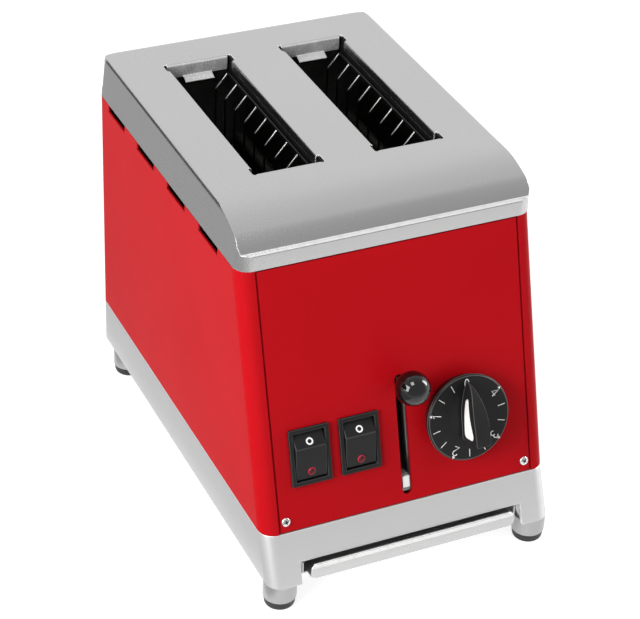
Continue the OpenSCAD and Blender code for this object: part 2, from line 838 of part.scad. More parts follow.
// Sheathed heating element: down the rear end, forward, back and out again at the front
module element(x) {
    out = -plate_t - terminal_l;
    leg = chamber_l - seat - tube_r;
    low_r = run_step / 2;
    high_r = run_mid / 2;
    near = low_r + tube_r + 4;
    inner = leg - elbow_r - high_r;
    color("dimgray") translate([x, chamber_front, 0]) {
        tube_run(out, leg - elbow_r, run_z[3]);
        tube_bend(leg - elbow_r, run_z[3] - elbow_r, elbow_r, 0, 90);
        translate([0, leg, run_z[0] + elbow_r]) cylinder(r = tube_r, h = run_z[3] - run_z[0] - 2 * elbow_r);
        tube_bend(leg - elbow_r, run_z[0] + elbow_r, elbow_r, 270, 90);
        tube_run(near, leg - elbow_r, run_z[0]);
        tube_bend(near, run_z[0] + low_r, low_r, 90, 180);
        tube_run(near, inner, run_z[1]);
        tube_bend(inner, run_z[1] + high_r, high_r, 270, 180);
        tube_run(out, inner, run_z[2]);
    }
}

module element_1() { element(elements[0]); }
module element_2() { element(elements[1]); }
module element_3() { element(elements[2]); }
module element_4() { element(elements[3]); }

module element_bushes() {
    color("ivory") for (x = elements, z = [run_z[2], run_z[3]])
        translate([x, chamber_front, z]) rotate([90, 0, 0]) difference() {
            union() {
                cylinder(r = bush_r, h = plate_t + bush_flange);
                translate([0, 0, plate_t]) cylinder(r = bush_r + 1, h = bush_flange);
            }
            translate([0, 0, -past]) cylinder(r = tube_r + run, h = plate_t + bush_flange + 2 * past);
        }
}

module guide_rods() {
    color("silver") for (s = [-1, 1]) translate([s * rod_x, rod_y, base_top])
        cylinder(r = rod_r, h = shelf_z + plate_t + 2 - base_top);
}

// Path of a return spring: a straight end, the curls and a straight end
spring_end = 2 * spring_wire_r;
spring_rings = 8 * spring_curls;
spring_pitch = (spring_l - 2 * spring_end) / spring_curls;
spring_path = concat(
    [[spring_r, 0, 0]],
    [for (i = [0 : spring_rings]) let (a = 45 * i)
        [spring_r * cos(a), spring_r * sin(a), spring_end + spring_pitch * i / 8]],
    [[spring_r, 0, spring_l]]
);
spring_sides = 6;
spring_gap = min([for (i = [1 : spring_rings - 8 + 1], k = [-1, 0, 1])
    norm(spring_path[i] - spring_path[i + 8 + k])]) - 2 * spring_wire_r;
echo(spring_gap = spring_gap);

// Ring of points square to the path, with one side always towards the coil's axis
function spring_ring(i) = let (
    n = len(spring_path),
    p = spring_path[i],
    d = i == 0 || i == n - 1 ? [0, 0, 1] : spring_path[min(i + 1, n - 1)] - spring_path[max(i - 1, 0)],
    t = d / norm(d),
    u = [p[0], p[1], 0] / spring_r,
    side = cross(t, u),
    v = side / norm(side),
    w = cross(v, t)
) [for (k = [0 : spring_sides - 1])
    let (a = 360 * k / spring_sides) p + spring_wire_r * (cos(a) * w + sin(a) * v)];

module spring_tube() {
    n = len(spring_path);
    m = spring_sides;
    points = [for (i = [0 : n - 1]) each spring_ring(i)];
    walls = [for (i = [0 : n - 2], k = [0 : m - 1]) let (a = i * m + k, b = i * m + (k + 1) % m)
        each [[a, a + m, b], [b, a + m, b + m]]];
    ends = concat(
        [for (k = [1 : m - 2]) [0, k, k + 1]],
        [for (k = [1 : m - 2]) let (z = (n - 1) * m) [z, z + k + 1, z + k]]
    );
    polyhedron(points, concat(walls, ends));
}

module return_springs() {
    color("silver") for (s = [-1, 1]) translate([s * spring_x, spring_y, bracket_high]) spring_tube();
}

// Bracket that carries both racks on the guide rods, with a slotted tongue for the lever's pin
module carriage_bracket() {
    high = bracket_high - bracket_low;
    tongue_front = pin_y - pin_shift - pin_r - 2;
    tongue_h = 14;
    seat_w = 10;
    color("gray") difference() {
        union() {
            translate([-bracket_half, bracket_front, bracket_low]) cube([2 * bracket_half, bracket_t, high]);
            for (s = [-1, 1]) {
                translate([s * rod_x, rod_y, bracket_low]) cylinder(r = boss_r, h = high);
                translate([s * rod_x - boss_r, rod_y, bracket_low])
                    cube([2 * boss_r, bracket_back - rod_y, high]);
                translate([s * spring_x - seat_w / 2, spring_y - seat_w / 2, bracket_high - bracket_t])
                    cube([seat_w, bracket_back - spring_y + seat_w / 2, bracket_t]);
            }
            translate([-tongue_t / 2, tongue_front, pin_z - tongue_h / 2])
                cube([tongue_t, bracket_back - tongue_front, tongue_h]);
        }
        for (s = [-1, 1]) translate([s * rod_x, rod_y, bracket_low - past])
            cylinder(r = bushing_r + run, h = high + 2 * past);
        for (y = [pin_y - pin_shift, pin_y]) translate([-tongue_t, y, pin_z]) rotate([0, 90, 0])
            cylinder(r = pin_r + seat, h = 2 * tongue_t);
        translate([-tongue_t, pin_y - pin_shift, pin_z - pin_r - seat])
            cube([2 * tongue_t, pin_shift, 2 * (pin_r + seat)]);
    }
}

module carriage_bushes() {
    color("goldenrod") for (s = [-1, 1]) translate([s * rod_x, rod_y, bracket_low]) difference() {
        cylinder(r = bushing_r, h = bracket_high - bracket_low);
        translate([0, 0, -past]) cylinder(r = rod_r + run, h = bracket_high - bracket_low + 2 * past);
    }
}

// Bar that passes through both chassis plates, with fingers that carry a slice of bread
module rack(s) {
    first = chamber_front + rack_end;
    step = (chamber_l - 2 * rack_end) / (finger_count - 1);
    half = guard_gap / 2 - 1;
    color("silver") translate([s * slot_x, 0, 0]) {
        translate([-bar_w / 2, bracket_back, bar_low])
            cube([bar_w, chamber_back + plate_t + 3 - bracket_back, bar_h]);
        for (i = [0 : finger_count - 1])
            translate([-half, first + i * step - finger_t / 2, bar_high])
                cube([2 * half, finger_t, finger_t]);
    }
}

module rack_left() { rack(-1); }
module rack_right() { rack(1); }

// Channel behind the front panel that holds the lever rods
module lever_bracket() {
    w = lever_bracket_w;
    color("gray") on_panel() difference() {
        union() {
            difference() {
                translate([-w / 2, lug_low, -sheet - plate_t]) cube([w, lug_high + lug_t - lug_low, plate_t]);
                translate([-6, lug_low + lug_t, -2 * sheet - plate_t])
                    cube([12, lug_high - lug_low - lug_t, plate_t + 2 * sheet]);
            }
            for (u = [lug_low, lug_high]) translate([-w / 2, u, -lug_in]) cube([w, lug_t, lug_in - sheet]);
        }
        for (s = [-1, 1]) translate([s * lever_rod_x, lug_low - past, -lever_rod_in]) rotate([-90, 0, 0])
            cylinder(r = lever_rod_r + run, h = lug_high - lug_low + lug_t + 2 * past);
    }
}

module lever_rods() {
    color("silver") on_panel() for (s = [-1, 1]) translate([s * lever_rod_x, lug_low, -lever_rod_in])
        rotate([-90, 0, 0]) cylinder(r = lever_rod_r, h = lug_high + lug_t - lug_low);
}

module lever_buffer() {
    color("white") on_panel() translate([-3.8, lug_low + lug_t, -12])
        cube([7.6, buffer_top - lug_low - lug_t, 12 - sheet - plate_t]);
}

// Block on the lever rods with the arm that comes through the slot and two ears for the pin
module lever_slider() {
    b = lever_block;
    color("whitesmoke") on_panel() difference() {
        union() {
            translate([-b[0] / 2, lever_block_low, -lever_block_in - b[2]]) cube(b);
            translate([-arm / 2, lever_u - arm / 2, -lever_block_in - past])
                cube([arm, arm, ball_out - ball_r + lever_block_in + past]);
            translate([0, lever_u, ball_out - ball_r - past]) cylinder(r = arm / 2 - seat, h = ball_r + past);
            for (s = [-1, 1]) translate([s * (ear_x + ear_t / 2) - ear_t / 2, pin_u - 5, -pin_in - 3.5])
                cube([ear_t, 10, pin_in + 3.5 - lever_block_in - b[2] / 2]);
        }
        for (s = [-1, 1])
            translate([s * lever_rod_x, lever_block_low - past, -lever_rod_in]) rotate([-90, 0, 0])
                cylinder(r = lever_rod_r + run, h = b[1] + 2 * past);
        translate([-far / 2, pin_u, -pin_in]) rotate([0, 90, 0]) cylinder(r = pin_r + run, h = far);
    }
}

module lever_pin() {
    l = 2 * (ear_x + ear_t);
    color("silver") on_panel() translate([-l / 2, pin_u, -pin_in]) rotate([0, 90, 0])
        cylinder(r = pin_r, h = l);
}

module lever_ball() {
    color("black") on_panel() translate([0, lever_u, ball_out]) difference() {
        sphere(r = ball_r);
        translate([0, 0, -ball_r - past]) cylinder(r = arm / 2 - seat + run, h = ball_r + past);
        translate([0, 0, -ball_r - past]) cylinder(r = arm, h = past + 0.7);
    }
}

module timer_body() {
    color("dimgray") on_panel() translate([dial_x, dial_u, 0]) difference() {
        union() {
            translate([0, 0, -sheet - timer_d]) linear_extrude(timer_d) round_rect(timer_w, timer_w, 5);
            translate([0, 0, -sheet - past]) cylinder(r = timer_bush_r, h = sheet + past + timer_nut_h);
        }
        translate([0, 0, -shaft_in - past])
            cylinder(r = shaft_r + run, h = shaft_in + 2 * past + timer_nut_h);
    }
}

module timer_nut() {
    color("silver") on_panel() translate([dial_x, dial_u, 0]) difference() {
        cylinder(r = timer_nut_r, h = timer_nut_h, $fn = 6);
        translate([0, 0, -past]) cylinder(r = timer_bush_r + run, h = timer_nut_h + 2 * past);
    }
}

module timer_shaft() {
    color("silver") on_panel() translate([dial_x, dial_u, -shaft_in])
        cylinder(r = shaft_r, h = shaft_in + dial_face - 1);
}

// Grip on the dial: bowed to a point in front, square behind, its back rising along a quarter ellipse
module grip(grow) {
    w = grip_w + 2 * grow;
    bow = grip_bow_r - grip_w / 2;
    reach = grip_tip + grip_end;
    intersection() {
        linear_extrude(grip_h) {
            intersection() {
                translate([bow, 0]) circle(grip_bow_r + grow, $fn = 180);
                translate([-bow, 0]) circle(grip_bow_r + grow, $fn = 180);
                translate([-w / 2, -past]) square([w, grip_tip + past]);
            }
            translate([0, -grip_end]) round_front(w, grip_end, grip_end_r);
        }
        across(2 * w) polygon(concat(
            [[-grip_end, 0]],
            [for (a = [0 : 5 : 90]) [reach * cos(a) - grip_end, grip_h * sin(a)]]
        ));
    }
}

// Side outline of the white inlay: low and narrow towards the pointed end
module inlay_outline(grow) {
    corners = [[grip_tip - 10.5, 5.2, 1.5], [5.5 - grip_end, 10.2, 2.6], [5.1 - grip_end, 5.1, 2.4]];
    hull() for (c = corners) translate([c[0], c[1]]) circle(c[2] + grow, $fn = 32);
}

module dial_knob() {
    edge = 1;
    rim = 3;
    hub_r = 8;
    color("darkslategray") on_panel() translate([dial_x, dial_u, 0]) difference() {
        union() {
            rotate_extrude() polygon([
                [shaft_r + run, dial_low], [hub_r, dial_low], [hub_r, dial_face - dial_web],
                [dial_r - rim, dial_face - dial_web], [dial_r - rim, dial_low], [dial_r, dial_low],
                [dial_r, dial_face - edge], [dial_r - edge, dial_face], [0, dial_face], [0, dial_face - 1],
                [shaft_r + run, dial_face - 1]
            ]);
            translate([0, 0, dial_face]) grip(0);
        }
        translate([0, 0, dial_face]) across(2 * grip_w) inlay_outline(run);
    }
}

module dial_insert() {
    color("white") on_panel() translate([dial_x, dial_u, dial_face]) intersection() {
        across(2 * grip_w) inlay_outline(0);
        grip(inlay_proud);
    }
}

// Switch housing: bezel on the panel, body behind it and a well for the rocker
module switch_body(x) {
    color("black") on_panel() translate([x, switch_u, 0]) difference() {
        union() {
            linear_extrude(bezel_t) square([switch_w, switch_h], center = true);
            translate([0, 0, -switch_d]) linear_extrude(switch_d + past)
                square([switch_body_w, switch_body_h], center = true);
        }
        translate([0, 0, -well_d]) linear_extrude(well_d + 2 * bezel_t)
            square([well_w, 2 * well_half], center = true);
        translate([-rocker_w / 2 - pivot_l - run, 0, -pivot_in]) rotate([0, 90, 0])
            cylinder(r = pivot_r + run, h = rocker_w + 2 * (pivot_l + run));
    }
}

module rocker(x) {
    chamfer = 1;
    color("black") on_panel() translate([x, switch_u, 0]) difference() {
        union() {
            across(rocker_w) polygon([
                rocker_top, rocker_ridge, rocker_low,
                [-rocker_half, chamfer - rocker_under], [chamfer - rocker_half, -rocker_under],
                [rocker_half - chamfer, -rocker_under], [rocker_half, chamfer - rocker_under]
            ]);
            translate([-rocker_w / 2 - pivot_l, 0, -pivot_in]) rotate([0, 90, 0])
                cylinder(r = pivot_r, h = rocker_w + 2 * pivot_l);
        }
        on_facet() cylinder(r = lens_r + run, h = lens_d + past);
    }
}

// Frame at the bottom of the lens's pocket, square to the rocker's lower facet
module on_facet() {
    translate([0, lens_u, lens_out]) rotate([facet_tilt, 0, 0]) translate([0, 0, -lens_d]) children();
}

module lens(x) {
    dome = 2.7;
    color("red") on_panel() translate([x, switch_u, 0]) on_facet() {
        cylinder(r = lens_r, h = lens_d);
        translate([0, 0, lens_d]) rotate_extrude()
            polygon(concat([[0, 0]], arc([0, -dome], norm([lens_r, dome]), atan2(dome, lens_r), 90, 6)));
    }
}

module switch_left() { switch_body(switches[0]); }
module switch_right() { switch_body(switches[1]); }
module rocker_left() { rocker(switches[0]); }
module rocker_right() { rocker(switches[1]); }
module lens_left() { lens(switches[0]); }
module lens_right() { lens(switches[1]); }

// Shallow pan that slides out under the base's front edge, with a rolled lip as its handle
module crumb_tray() {
    back = y_front + tray_l;
    pan_front = y_base + base_flare / 2;
    lip_y = y_base + lip_back;
    lip_z = tray_z - 1;
    color("gainsboro") {
        difference() {
            translate([-tray_w / 2, pan_front, tray_z]) cube([tray_w, back - pan_front, tray_h]);
            translate([-tray_w / 2 + tray_t, pan_front - past, tray_z + tray_t])
                cube([tray_w - 2 * tray_t, back - pan_front - tray_t + past, tray_h]);
        }
        translate([-lip_w / 2, lip_y, tray_z]) cube([lip_w, pan_front - lip_y + past, tray_t]);
        translate([0, lip_y + tray_t / 2, lip_z + lip_h / 2]) rotate([90, 0, 0])
            linear_extrude(tray_t) round_rect(lip_w, lip_h, lip_r);
        translate([-lip_w / 2 + lip_r / 2, lip_y, lip_z + lip_h - lip_roll_r]) rotate([0, 90, 0])
            cylinder(r = lip_roll_r, h = lip_w - lip_r);
    }
}

// Folded rails under the base's top plate
module tray_runners() {
    l = runner_back - runner_front;
    top = base_top - base_wall;
    low = tray_z - seat - runner_t;
    ledge = runner_ledge + runner_t;
    color("gray") for (s = [-1, 1]) translate([0, runner_front, 0]) {
        translate([s * (runner_x + runner_t / 2) - runner_t / 2, 0, low]) cube([runner_t, l, top - low]);
        translate([s * (runner_x + runner_t - ledge / 2) - ledge / 2, 0, low]) cube([ledge, l, runner_t]);
        translate([s * (runner_x + runner_flange / 2) - runner_flange / 2, 0, top - runner_t])
            cube([runner_flange, l, runner_t]);
    }
}

// Row of screw terminals with walls between the poles
module terminal_block() {
    l = pole_count * pole_w;
    hole_r = 2;
    hole_d = 6;
    color("ivory") translate([block_side - body_w / 2, y_front + block_front, base_top]) difference() {
        union() {
            cube([l, block_d, block_h - block_step]);
            for (i = [0 : pole_count]) translate([i * (l - pole_wall) / pole_count, 0, 0])
                cube([pole_wall, block_d, block_h]);
        }
        for (i = [0 : pole_count - 1], y = [block_d / 4, block_d * 3 / 4])
            translate([(i + 0.5) * pole_w + pole_wall / 4, y, block_h - block_step - hole_d + past])
                cylinder(r = hole_r, h = hole_d);
    }
}

module cord_gland() {
    inside = -sheet - gland_neck_l;
    color("black") translate([gland_x, y_back, base_top + gland_z]) rotate([-90, 0, 0])
        rotate_extrude() polygon([
            [gland_bore, inside], [gland_neck_r, inside], [gland_neck_r, 0], [gland_flange_r, 0],
            [gland_flange_r, gland_flange_t], [gland_neck_r + 1, gland_flange_t + 1],
            [gland_bore + 2.5, gland_reach - 1], [gland_bore + 1.5, gland_reach], [gland_bore, gland_reach]
        ]);
}

module gland_nut() {
    color("black") translate([gland_x, y_back - sheet, base_top + gland_z]) rotate([90, 0, 0]) difference() {
        cylinder(r = gland_nut_r, h = gland_nut_h, $fn = 6);
        translate([0, 0, -past]) cylinder(r = gland_neck_r + run, h = gland_nut_h + 2 * past);
    }
}

base_frame();
body_wrap();
front_panel();
top_cover();
foot_sleeves();
foot_pads();
foot_screws();
panel_screws();
lid_nuts();
chassis_front();
chassis_rear();
shield_left();
shield_right();
center_reflector();
slot_liner_left();
slot_liner_right();
guard_1();
guard_2();
guard_3();
guard_4();
element_1();
element_2();
element_3();
element_4();
element_bushes();
guide_rods();
return_springs();
carriage_bracket();
carriage_bushes();
rack_left();
rack_right();
lever_bracket();
lever_rods();
lever_buffer();
lever_slider();
lever_pin();
lever_ball();
timer_body();
timer_nut();
timer_shaft();
dial_knob();
dial_insert();
switch_left();
switch_right();
rocker_left();
rocker_right();
lens_left();
lens_right();
crumb_tray();
tray_runners();
terminal_block();
cord_gland();
gland_nut();
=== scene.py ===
# %% [markdown]
# # A two-slice toaster in the studio
# The toaster's pieces come from an exact CAD model that is loaded as a fixed frame. This lesson dresses them:
# it softens their edges, winds and bends the wires, prints the dial and gives every piece a finish made of
# shader nodes. A finished piece either replaces a CAD node or rides on one of its bodies, so that the lever,
# the dial, the rockers and the tray still move.

import json
import math

import bmesh
import bpy
from mathutils import Matrix, Vector

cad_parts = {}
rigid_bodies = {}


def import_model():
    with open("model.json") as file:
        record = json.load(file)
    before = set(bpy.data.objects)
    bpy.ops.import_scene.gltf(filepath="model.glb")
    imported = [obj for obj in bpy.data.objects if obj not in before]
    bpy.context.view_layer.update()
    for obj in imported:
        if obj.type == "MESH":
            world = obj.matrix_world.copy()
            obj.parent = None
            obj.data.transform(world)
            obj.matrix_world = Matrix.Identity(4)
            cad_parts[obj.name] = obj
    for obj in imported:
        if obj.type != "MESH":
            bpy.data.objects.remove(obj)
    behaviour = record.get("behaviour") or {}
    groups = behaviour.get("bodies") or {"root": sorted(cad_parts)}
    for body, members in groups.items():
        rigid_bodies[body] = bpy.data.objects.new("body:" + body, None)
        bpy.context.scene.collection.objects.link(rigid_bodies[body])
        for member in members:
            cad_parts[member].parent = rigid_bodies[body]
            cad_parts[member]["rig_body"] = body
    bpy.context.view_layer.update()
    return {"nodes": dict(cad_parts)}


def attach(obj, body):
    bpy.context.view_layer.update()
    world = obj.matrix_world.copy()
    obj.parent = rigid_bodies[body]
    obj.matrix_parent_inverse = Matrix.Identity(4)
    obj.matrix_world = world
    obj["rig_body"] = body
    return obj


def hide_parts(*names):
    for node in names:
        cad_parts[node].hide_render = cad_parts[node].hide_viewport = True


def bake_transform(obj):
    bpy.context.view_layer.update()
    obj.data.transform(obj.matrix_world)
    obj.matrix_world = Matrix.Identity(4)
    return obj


for leftover in list(bpy.data.objects):
    bpy.data.objects.remove(leftover)
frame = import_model()
nodes = frame["nodes"]
scene = bpy.context.scene
scene.view_settings.view_transform = "Standard"

# %% [markdown]
# ## The slanted panel's own axes
# Dial, lever and switches all sit on the slanted front panel, so their places are easiest to say on that panel:
# across it, up along it and out of it. One matrix carries such a place into the toaster's frame. Sizes are
# written in millimetres, as on a drawing, and turned into metres in one place.

# %% Panel axes
MM = 0.001
PANEL_SETBACK, PANEL_RISE, PANEL_FOOT_Y, PANEL_FOOT_Z = 44, 149, -131.8673, 46


def mm(*values):
    """A place or size given in millimetres."""
    return Vector([v * MM for v in values])


slant = math.atan2(PANEL_SETBACK, PANEL_RISE)
panel_tilt = math.pi / 2 - slant
panel = Matrix.Translation(mm(0, PANEL_FOOT_Y, PANEL_FOOT_Z)) @ Matrix.Rotation(panel_tilt, 4, "X")


def on_panel(across, up, out):
    """Matrix of a place on the front panel, in millimetres across, up and out of it."""
    return panel @ Matrix.Translation(mm(across, up, out))


print("panel slants by", round(math.degrees(slant), 2), "degrees")

# %% [markdown]
# ## Camera
# The picture is taken from the left, well above the table, with a long lens and a slight roll. The camera's axes
# are worked out from azimuth, elevation and roll and written straight into its matrix. That is exact, where a
# Track To constraint would lose the roll.

# %% Camera
AZIMUTH, ELEVATION, ROLL = (math.radians(a) for a in (-25.99, 33.81, 2.67))
TARGET = mm(-0.59, -6.41, 100)
DISTANCE = 1314.7 * MM
FOCAL_PIXELS, IMAGE_WIDTH, SENSOR = 2191.3, 640, 36

reach = math.cos(ELEVATION)
back = Vector((math.sin(AZIMUTH) * reach, -math.cos(AZIMUTH) * reach, math.sin(ELEVATION)))
right = Vector((math.cos(AZIMUTH), math.sin(AZIMUTH), 0))
up = back.cross(right)
rolled_right = math.cos(ROLL) * right + math.sin(ROLL) * up
rolled_up = -math.sin(ROLL) * right + math.cos(ROLL) * up
camera = bpy.data.objects.new("camera", bpy.data.cameras.new("camera"))
scene.collection.objects.link(camera)
axes = Matrix((rolled_right, rolled_up, back)).transposed().to_4x4()
camera.matrix_world = Matrix.Translation(TARGET + DISTANCE * back) @ axes
camera.data.sensor_width = SENSOR
camera.data.lens = FOCAL_PIXELS * SENSOR / IMAGE_WIDTH
camera.data.clip_start, camera.data.clip_end = 0.05, 50
scene.camera = camera
print("lens", round(camera.data.lens, 1), "mm")

# %% [markdown]
# ## Node helpers
# Materials, the world and Geometry Nodes are all node trees, so one small helper adds a node, sets its inputs
# and links what has to be linked. An input is named by its name or its number. Its value is a plain value, another
# node's output socket, or another node, whose first output is then meant.

# %% Node helpers


def add_node(tree, kind, inputs=None, **settings):
    """A new node in tree, with its settings and its inputs set or linked."""
    made = tree.nodes.new(kind)
    for name, value in settings.items():
        setattr(made, name, value)
    for key, value in (inputs or {}).items():
        if isinstance(value, bpy.types.Node):
            value = value.outputs[0]
        if isinstance(value, bpy.types.NodeSocket):
            tree.links.new(value, made.inputs[key])
        else:
            made.inputs[key].default_value = value
    return made


def mix_colours(tree, factor, first, second):
    """Output of a node that mixes two colours."""
    return add_node(tree, "ShaderNodeMix", {0: factor, 6: first, 7: second}, data_type="RGBA").outputs[2]


def maths(tree, operation, first, second, clamp=False):
    """Output of a Math node."""
    return add_node(tree, "ShaderNodeMath", {0: first, 1: second}, operation=operation, use_clamp=clamp).outputs[0]


def times(tree, first, second):
    """Output of a Math node that multiplies."""
    return maths(tree, "MULTIPLY", first, second)


def stretch(tree, value, low, high, new_low, new_high):
    """Output of a Map Range node that spreads a value over a new range."""
    inputs = {0: value, 1: low, 2: high, 3: new_low, 4: new_high}
    return add_node(tree, "ShaderNodeMapRange", inputs).outputs[0]


def new_material(name):
    """A new material and its empty node tree."""
    material = bpy.data.materials.new(name)
    material.use_nodes = True
    material.node_tree.nodes.clear()
    return material, material.node_tree


def mark(mesh, values, name="edge", domain="POINT"):
    """Stores a value for each point or corner of a mesh, for its material to read."""
    mesh.attributes.new(name, "FLOAT", domain).data.foreach_set("value", values)


print("helpers ready")

# %% [markdown]
# ## Studio
# The toaster stands on white paper under soft light. The world lights it evenly, and what looks straight at the
# world, or sees it in a shiny surface, sees plain white. The paper is lit as any surface is, so it keeps the
# shadow, and a little glow that only those looks see lifts it to white.

# %% World and floor
STUDIO_LIGHT = 0.46
PAPER, PAPER_GLOW = 0.50, 0.78
WHITE = (1, 1, 1, 1)


def seen_directly(tree):
    """1 for rays from the camera, from a shiny surface or through glass, and 0 for diffuse light."""
    path = add_node(tree, "ShaderNodeLightPath")
    shiny = maths(tree, "MAXIMUM", path.outputs["Is Glossy Ray"], path.outputs["Is Transmission Ray"])
    return maths(tree, "MAXIMUM", path.outputs["Is Camera Ray"], shiny)


scene.world = bpy.data.worlds.new("studio")
scene.world.use_nodes = True
tree = scene.world.node_tree
tree.nodes.clear()
dim = add_node(tree, "ShaderNodeBackground", {"Color": WHITE, "Strength": STUDIO_LIGHT})
bright = add_node(tree, "ShaderNodeBackground", {"Color": WHITE, "Strength": 1.0})
sky = add_node(tree, "ShaderNodeMixShader", {0: seen_directly(tree), 1: dim, 2: bright})
add_node(tree, "ShaderNodeOutputWorld", {"Surface": sky})


def flat_sheet(name, corners, material):
    """A stage piece of one face."""
    mesh = bpy.data.meshes.new(name)
    mesh.from_pydata(corners, [], [(0, 1, 2, 3)])
    mesh.materials.append(material)
    sheet = bpy.data.objects.new(name, mesh)
    scene.collection.objects.link(sheet)
    return sheet


paper, tree = new_material("Studio paper")
matt = add_node(tree, "ShaderNodeBsdfDiffuse", {"Color": (PAPER, PAPER, PAPER, 1)})
glow_strength = times(tree, seen_directly(tree), PAPER_GLOW)
glow = add_node(tree, "ShaderNodeEmission", {"Color": WHITE, "Strength": glow_strength})
lit = add_node(tree, "ShaderNodeAddShader", {0: matt, 1: glow})
add_node(tree, "ShaderNodeOutputMaterial", {"Surface": lit})
FLOOR_HALF, FLOOR_Z = 6, -0.0002
corners = [(x * FLOOR_HALF, y * FLOOR_HALF, FLOOR_Z) for x, y in ((-1, -1), (1, -1), (1, 1), (-1, 1))]
flat_sheet("floor", corners, paper)
print("paper laid")

# %% [markdown]
# ## Softboxes and grey cards
# A large softbox on the left and a slim one on the right draw the highlights on the ball and the paint. Shiny metal
# and gloss show what stands round them, and in an all-white room they would look flat. So grey cards stand and lie
# about, as in a real studio, and two bright windows stand high and to the right. A card's grey runs from its near to
# its far edge. All of them are seen only in reflections, and light or shade nothing.

# %% Softboxes
LIGHTS = {
    "key_softbox": ((-1.51, -0.59, 0.85), (1.00, 1.00), 31.0),
    "right_softbox": ((1.60, -0.30, 0.75), (0.40, 0.95), 12.0),
}
AIM = Vector((0, 0, 0.12))
for name, (place, size, power) in LIGHTS.items():
    lamp = bpy.data.lights.new(name, "AREA")
    lamp.shape = "RECTANGLE"
    lamp.size, lamp.size_y = size
    lamp.energy = power
    softbox = bpy.data.objects.new(name, lamp)
    scene.collection.objects.link(softbox)
    softbox.location = place
    softbox.rotation_euler = (AIM - Vector(place)).to_track_quat("-Z", "Y").to_euler()
print("lights:", ", ".join(LIGHTS))

# %% Grey cards
CEILING, CARD_Z = 2.4, 0.0005
CARDS = {
    "front_screen": (0.50, 0.52, [(-3, -2, 0), (3, -2, 0), (3, -0.9, CEILING), (-3, -0.9, CEILING)]),
    "ceiling_card": (0.52, 0.95, [(-3, -0.9, CEILING), (3, -0.9, CEILING), (3, 1.6, CEILING), (-3, 1.6, CEILING)]),
    "front_card": (0.60, 0.60, [(-2, -2, CARD_Z), (2, -2, CARD_Z), (2, -0.55, CARD_Z), (-2, -0.55, CARD_Z)]),
    "near_card": (0.95, 1.00, [(-1, -0.55, CARD_Z), (1, -0.55, CARD_Z), (1, -0.33, CARD_Z), (-1, -0.33, CARD_Z)]),
    "left_card": (0.52, 0.52, [(-1.5, -0.5, CARD_Z), (-0.1, -0.5, CARD_Z), (-0.1, 1.2, CARD_Z), (-1.5, 1.2, CARD_Z)]),
    "rear_flag": (0.04, 0.04, [(-1.5, 0.75, 0), (-0.65, 1.35, 0), (-0.65, 1.35, 0.75), (-1.5, 0.75, 0.75)]),
    "left_flag": (0.04, 0.04, [(-1.5, -0.6, 0.4), (-1.5, 0.75, 0.4), (-1.5, 0.75, 1.2), (-1.5, -0.6, 1.2)]),
    "high_window": (9.0, 9.0, [(-0.85, -1.05, 1.7), (-0.2, -1.05, 1.7), (-0.2, -0.4, 1.95), (-0.85, -0.4, 1.95)]),
    "side_window": (5.0, 5.0, [(1.9, -0.45, 0.35), (1.9, 0.15, 0.35), (1.9, 0.15, 1.05), (1.9, -0.45, 1.05)]),
}
grey_card, tree = new_material("Grey card")
grey = add_node(tree, "ShaderNodeAttribute", attribute_name="grey").outputs["Fac"]
lit = add_node(tree, "ShaderNodeEmission", {"Color": WHITE, "Strength": grey})
add_node(tree, "ShaderNodeOutputMaterial", {"Surface": lit})
for name, (near, far, corners) in CARDS.items():
    card = flat_sheet(name, corners, grey_card)
    mark(card.data, [near, near, far, far], "grey")
    card.visible_camera = card.visible_diffuse = card.visible_shadow = False
print("cards:", ", ".join(CARDS))

# %% [markdown]
# ## Effects that the finishes share
# Four effects turn up again and again: fine lines from brushing, soft marks from wiping and handling, the grain of
# paint or moulded plastic, and a mark along the edges, which is wear on most faces and painted highlight or painted
# shade on the faces a piece marks for it. Each is a node group that is built once. A group puts out a mask or a
# height, and each material decides what that does to its colour, roughness or bump.

# %% Shared effects


def new_effect(name, output, *inputs):
    """An empty shader node group with a vector and more inputs, and its input sockets."""
    tree = bpy.data.node_groups.new(name, "ShaderNodeTree")
    tree.interface.new_socket("Vector", in_out="INPUT", socket_type="NodeSocketVector")
    for label, value in inputs:
        tree.interface.new_socket(label, in_out="INPUT", socket_type="NodeSocketFloat").default_value = value
    tree.interface.new_socket(output, in_out="OUTPUT", socket_type="NodeSocketFloat")
    return tree, tree.nodes.new("NodeGroupInput").outputs


def noise(tree, vector, scale, detail, roughness):
    """Output of a Noise Texture node."""
    inputs = {"Vector": vector, "Scale": scale, "Detail": detail, "Roughness": roughness}
    return add_node(tree, "ShaderNodeTexNoise", inputs).outputs[0]


brushed_lines, given = new_effect("Brushed lines", "Lines")
lines = stretch(brushed_lines, noise(brushed_lines, given["Vector"], 1.0, 3.0, 0.6), 0.3, 0.7, 0.0, 1.0)
add_node(brushed_lines, "NodeGroupOutput", {0: lines})

soft_marks, given = new_effect("Soft marks", "Marks", ("Scale", 20.0))
marks = stretch(soft_marks, noise(soft_marks, given["Vector"], given["Scale"], 4.0, 0.55), 0.35, 0.7, 0.0, 1.0)
add_node(soft_marks, "NodeGroupOutput", {0: marks})

fine_grain, given = new_effect("Fine grain", "Grain", ("Scale", 900.0))
coarse = noise(fine_grain, given["Vector"], given["Scale"], 2.0, 0.5)
cells = add_node(fine_grain, "ShaderNodeTexVoronoi", {"Vector": given["Vector"], "Scale": given["Scale"]})
grain = times(fine_grain, coarse, stretch(fine_grain, cells, 0.0, 0.9, 0.6, 1.0))
add_node(fine_grain, "NodeGroupOutput", {0: grain})
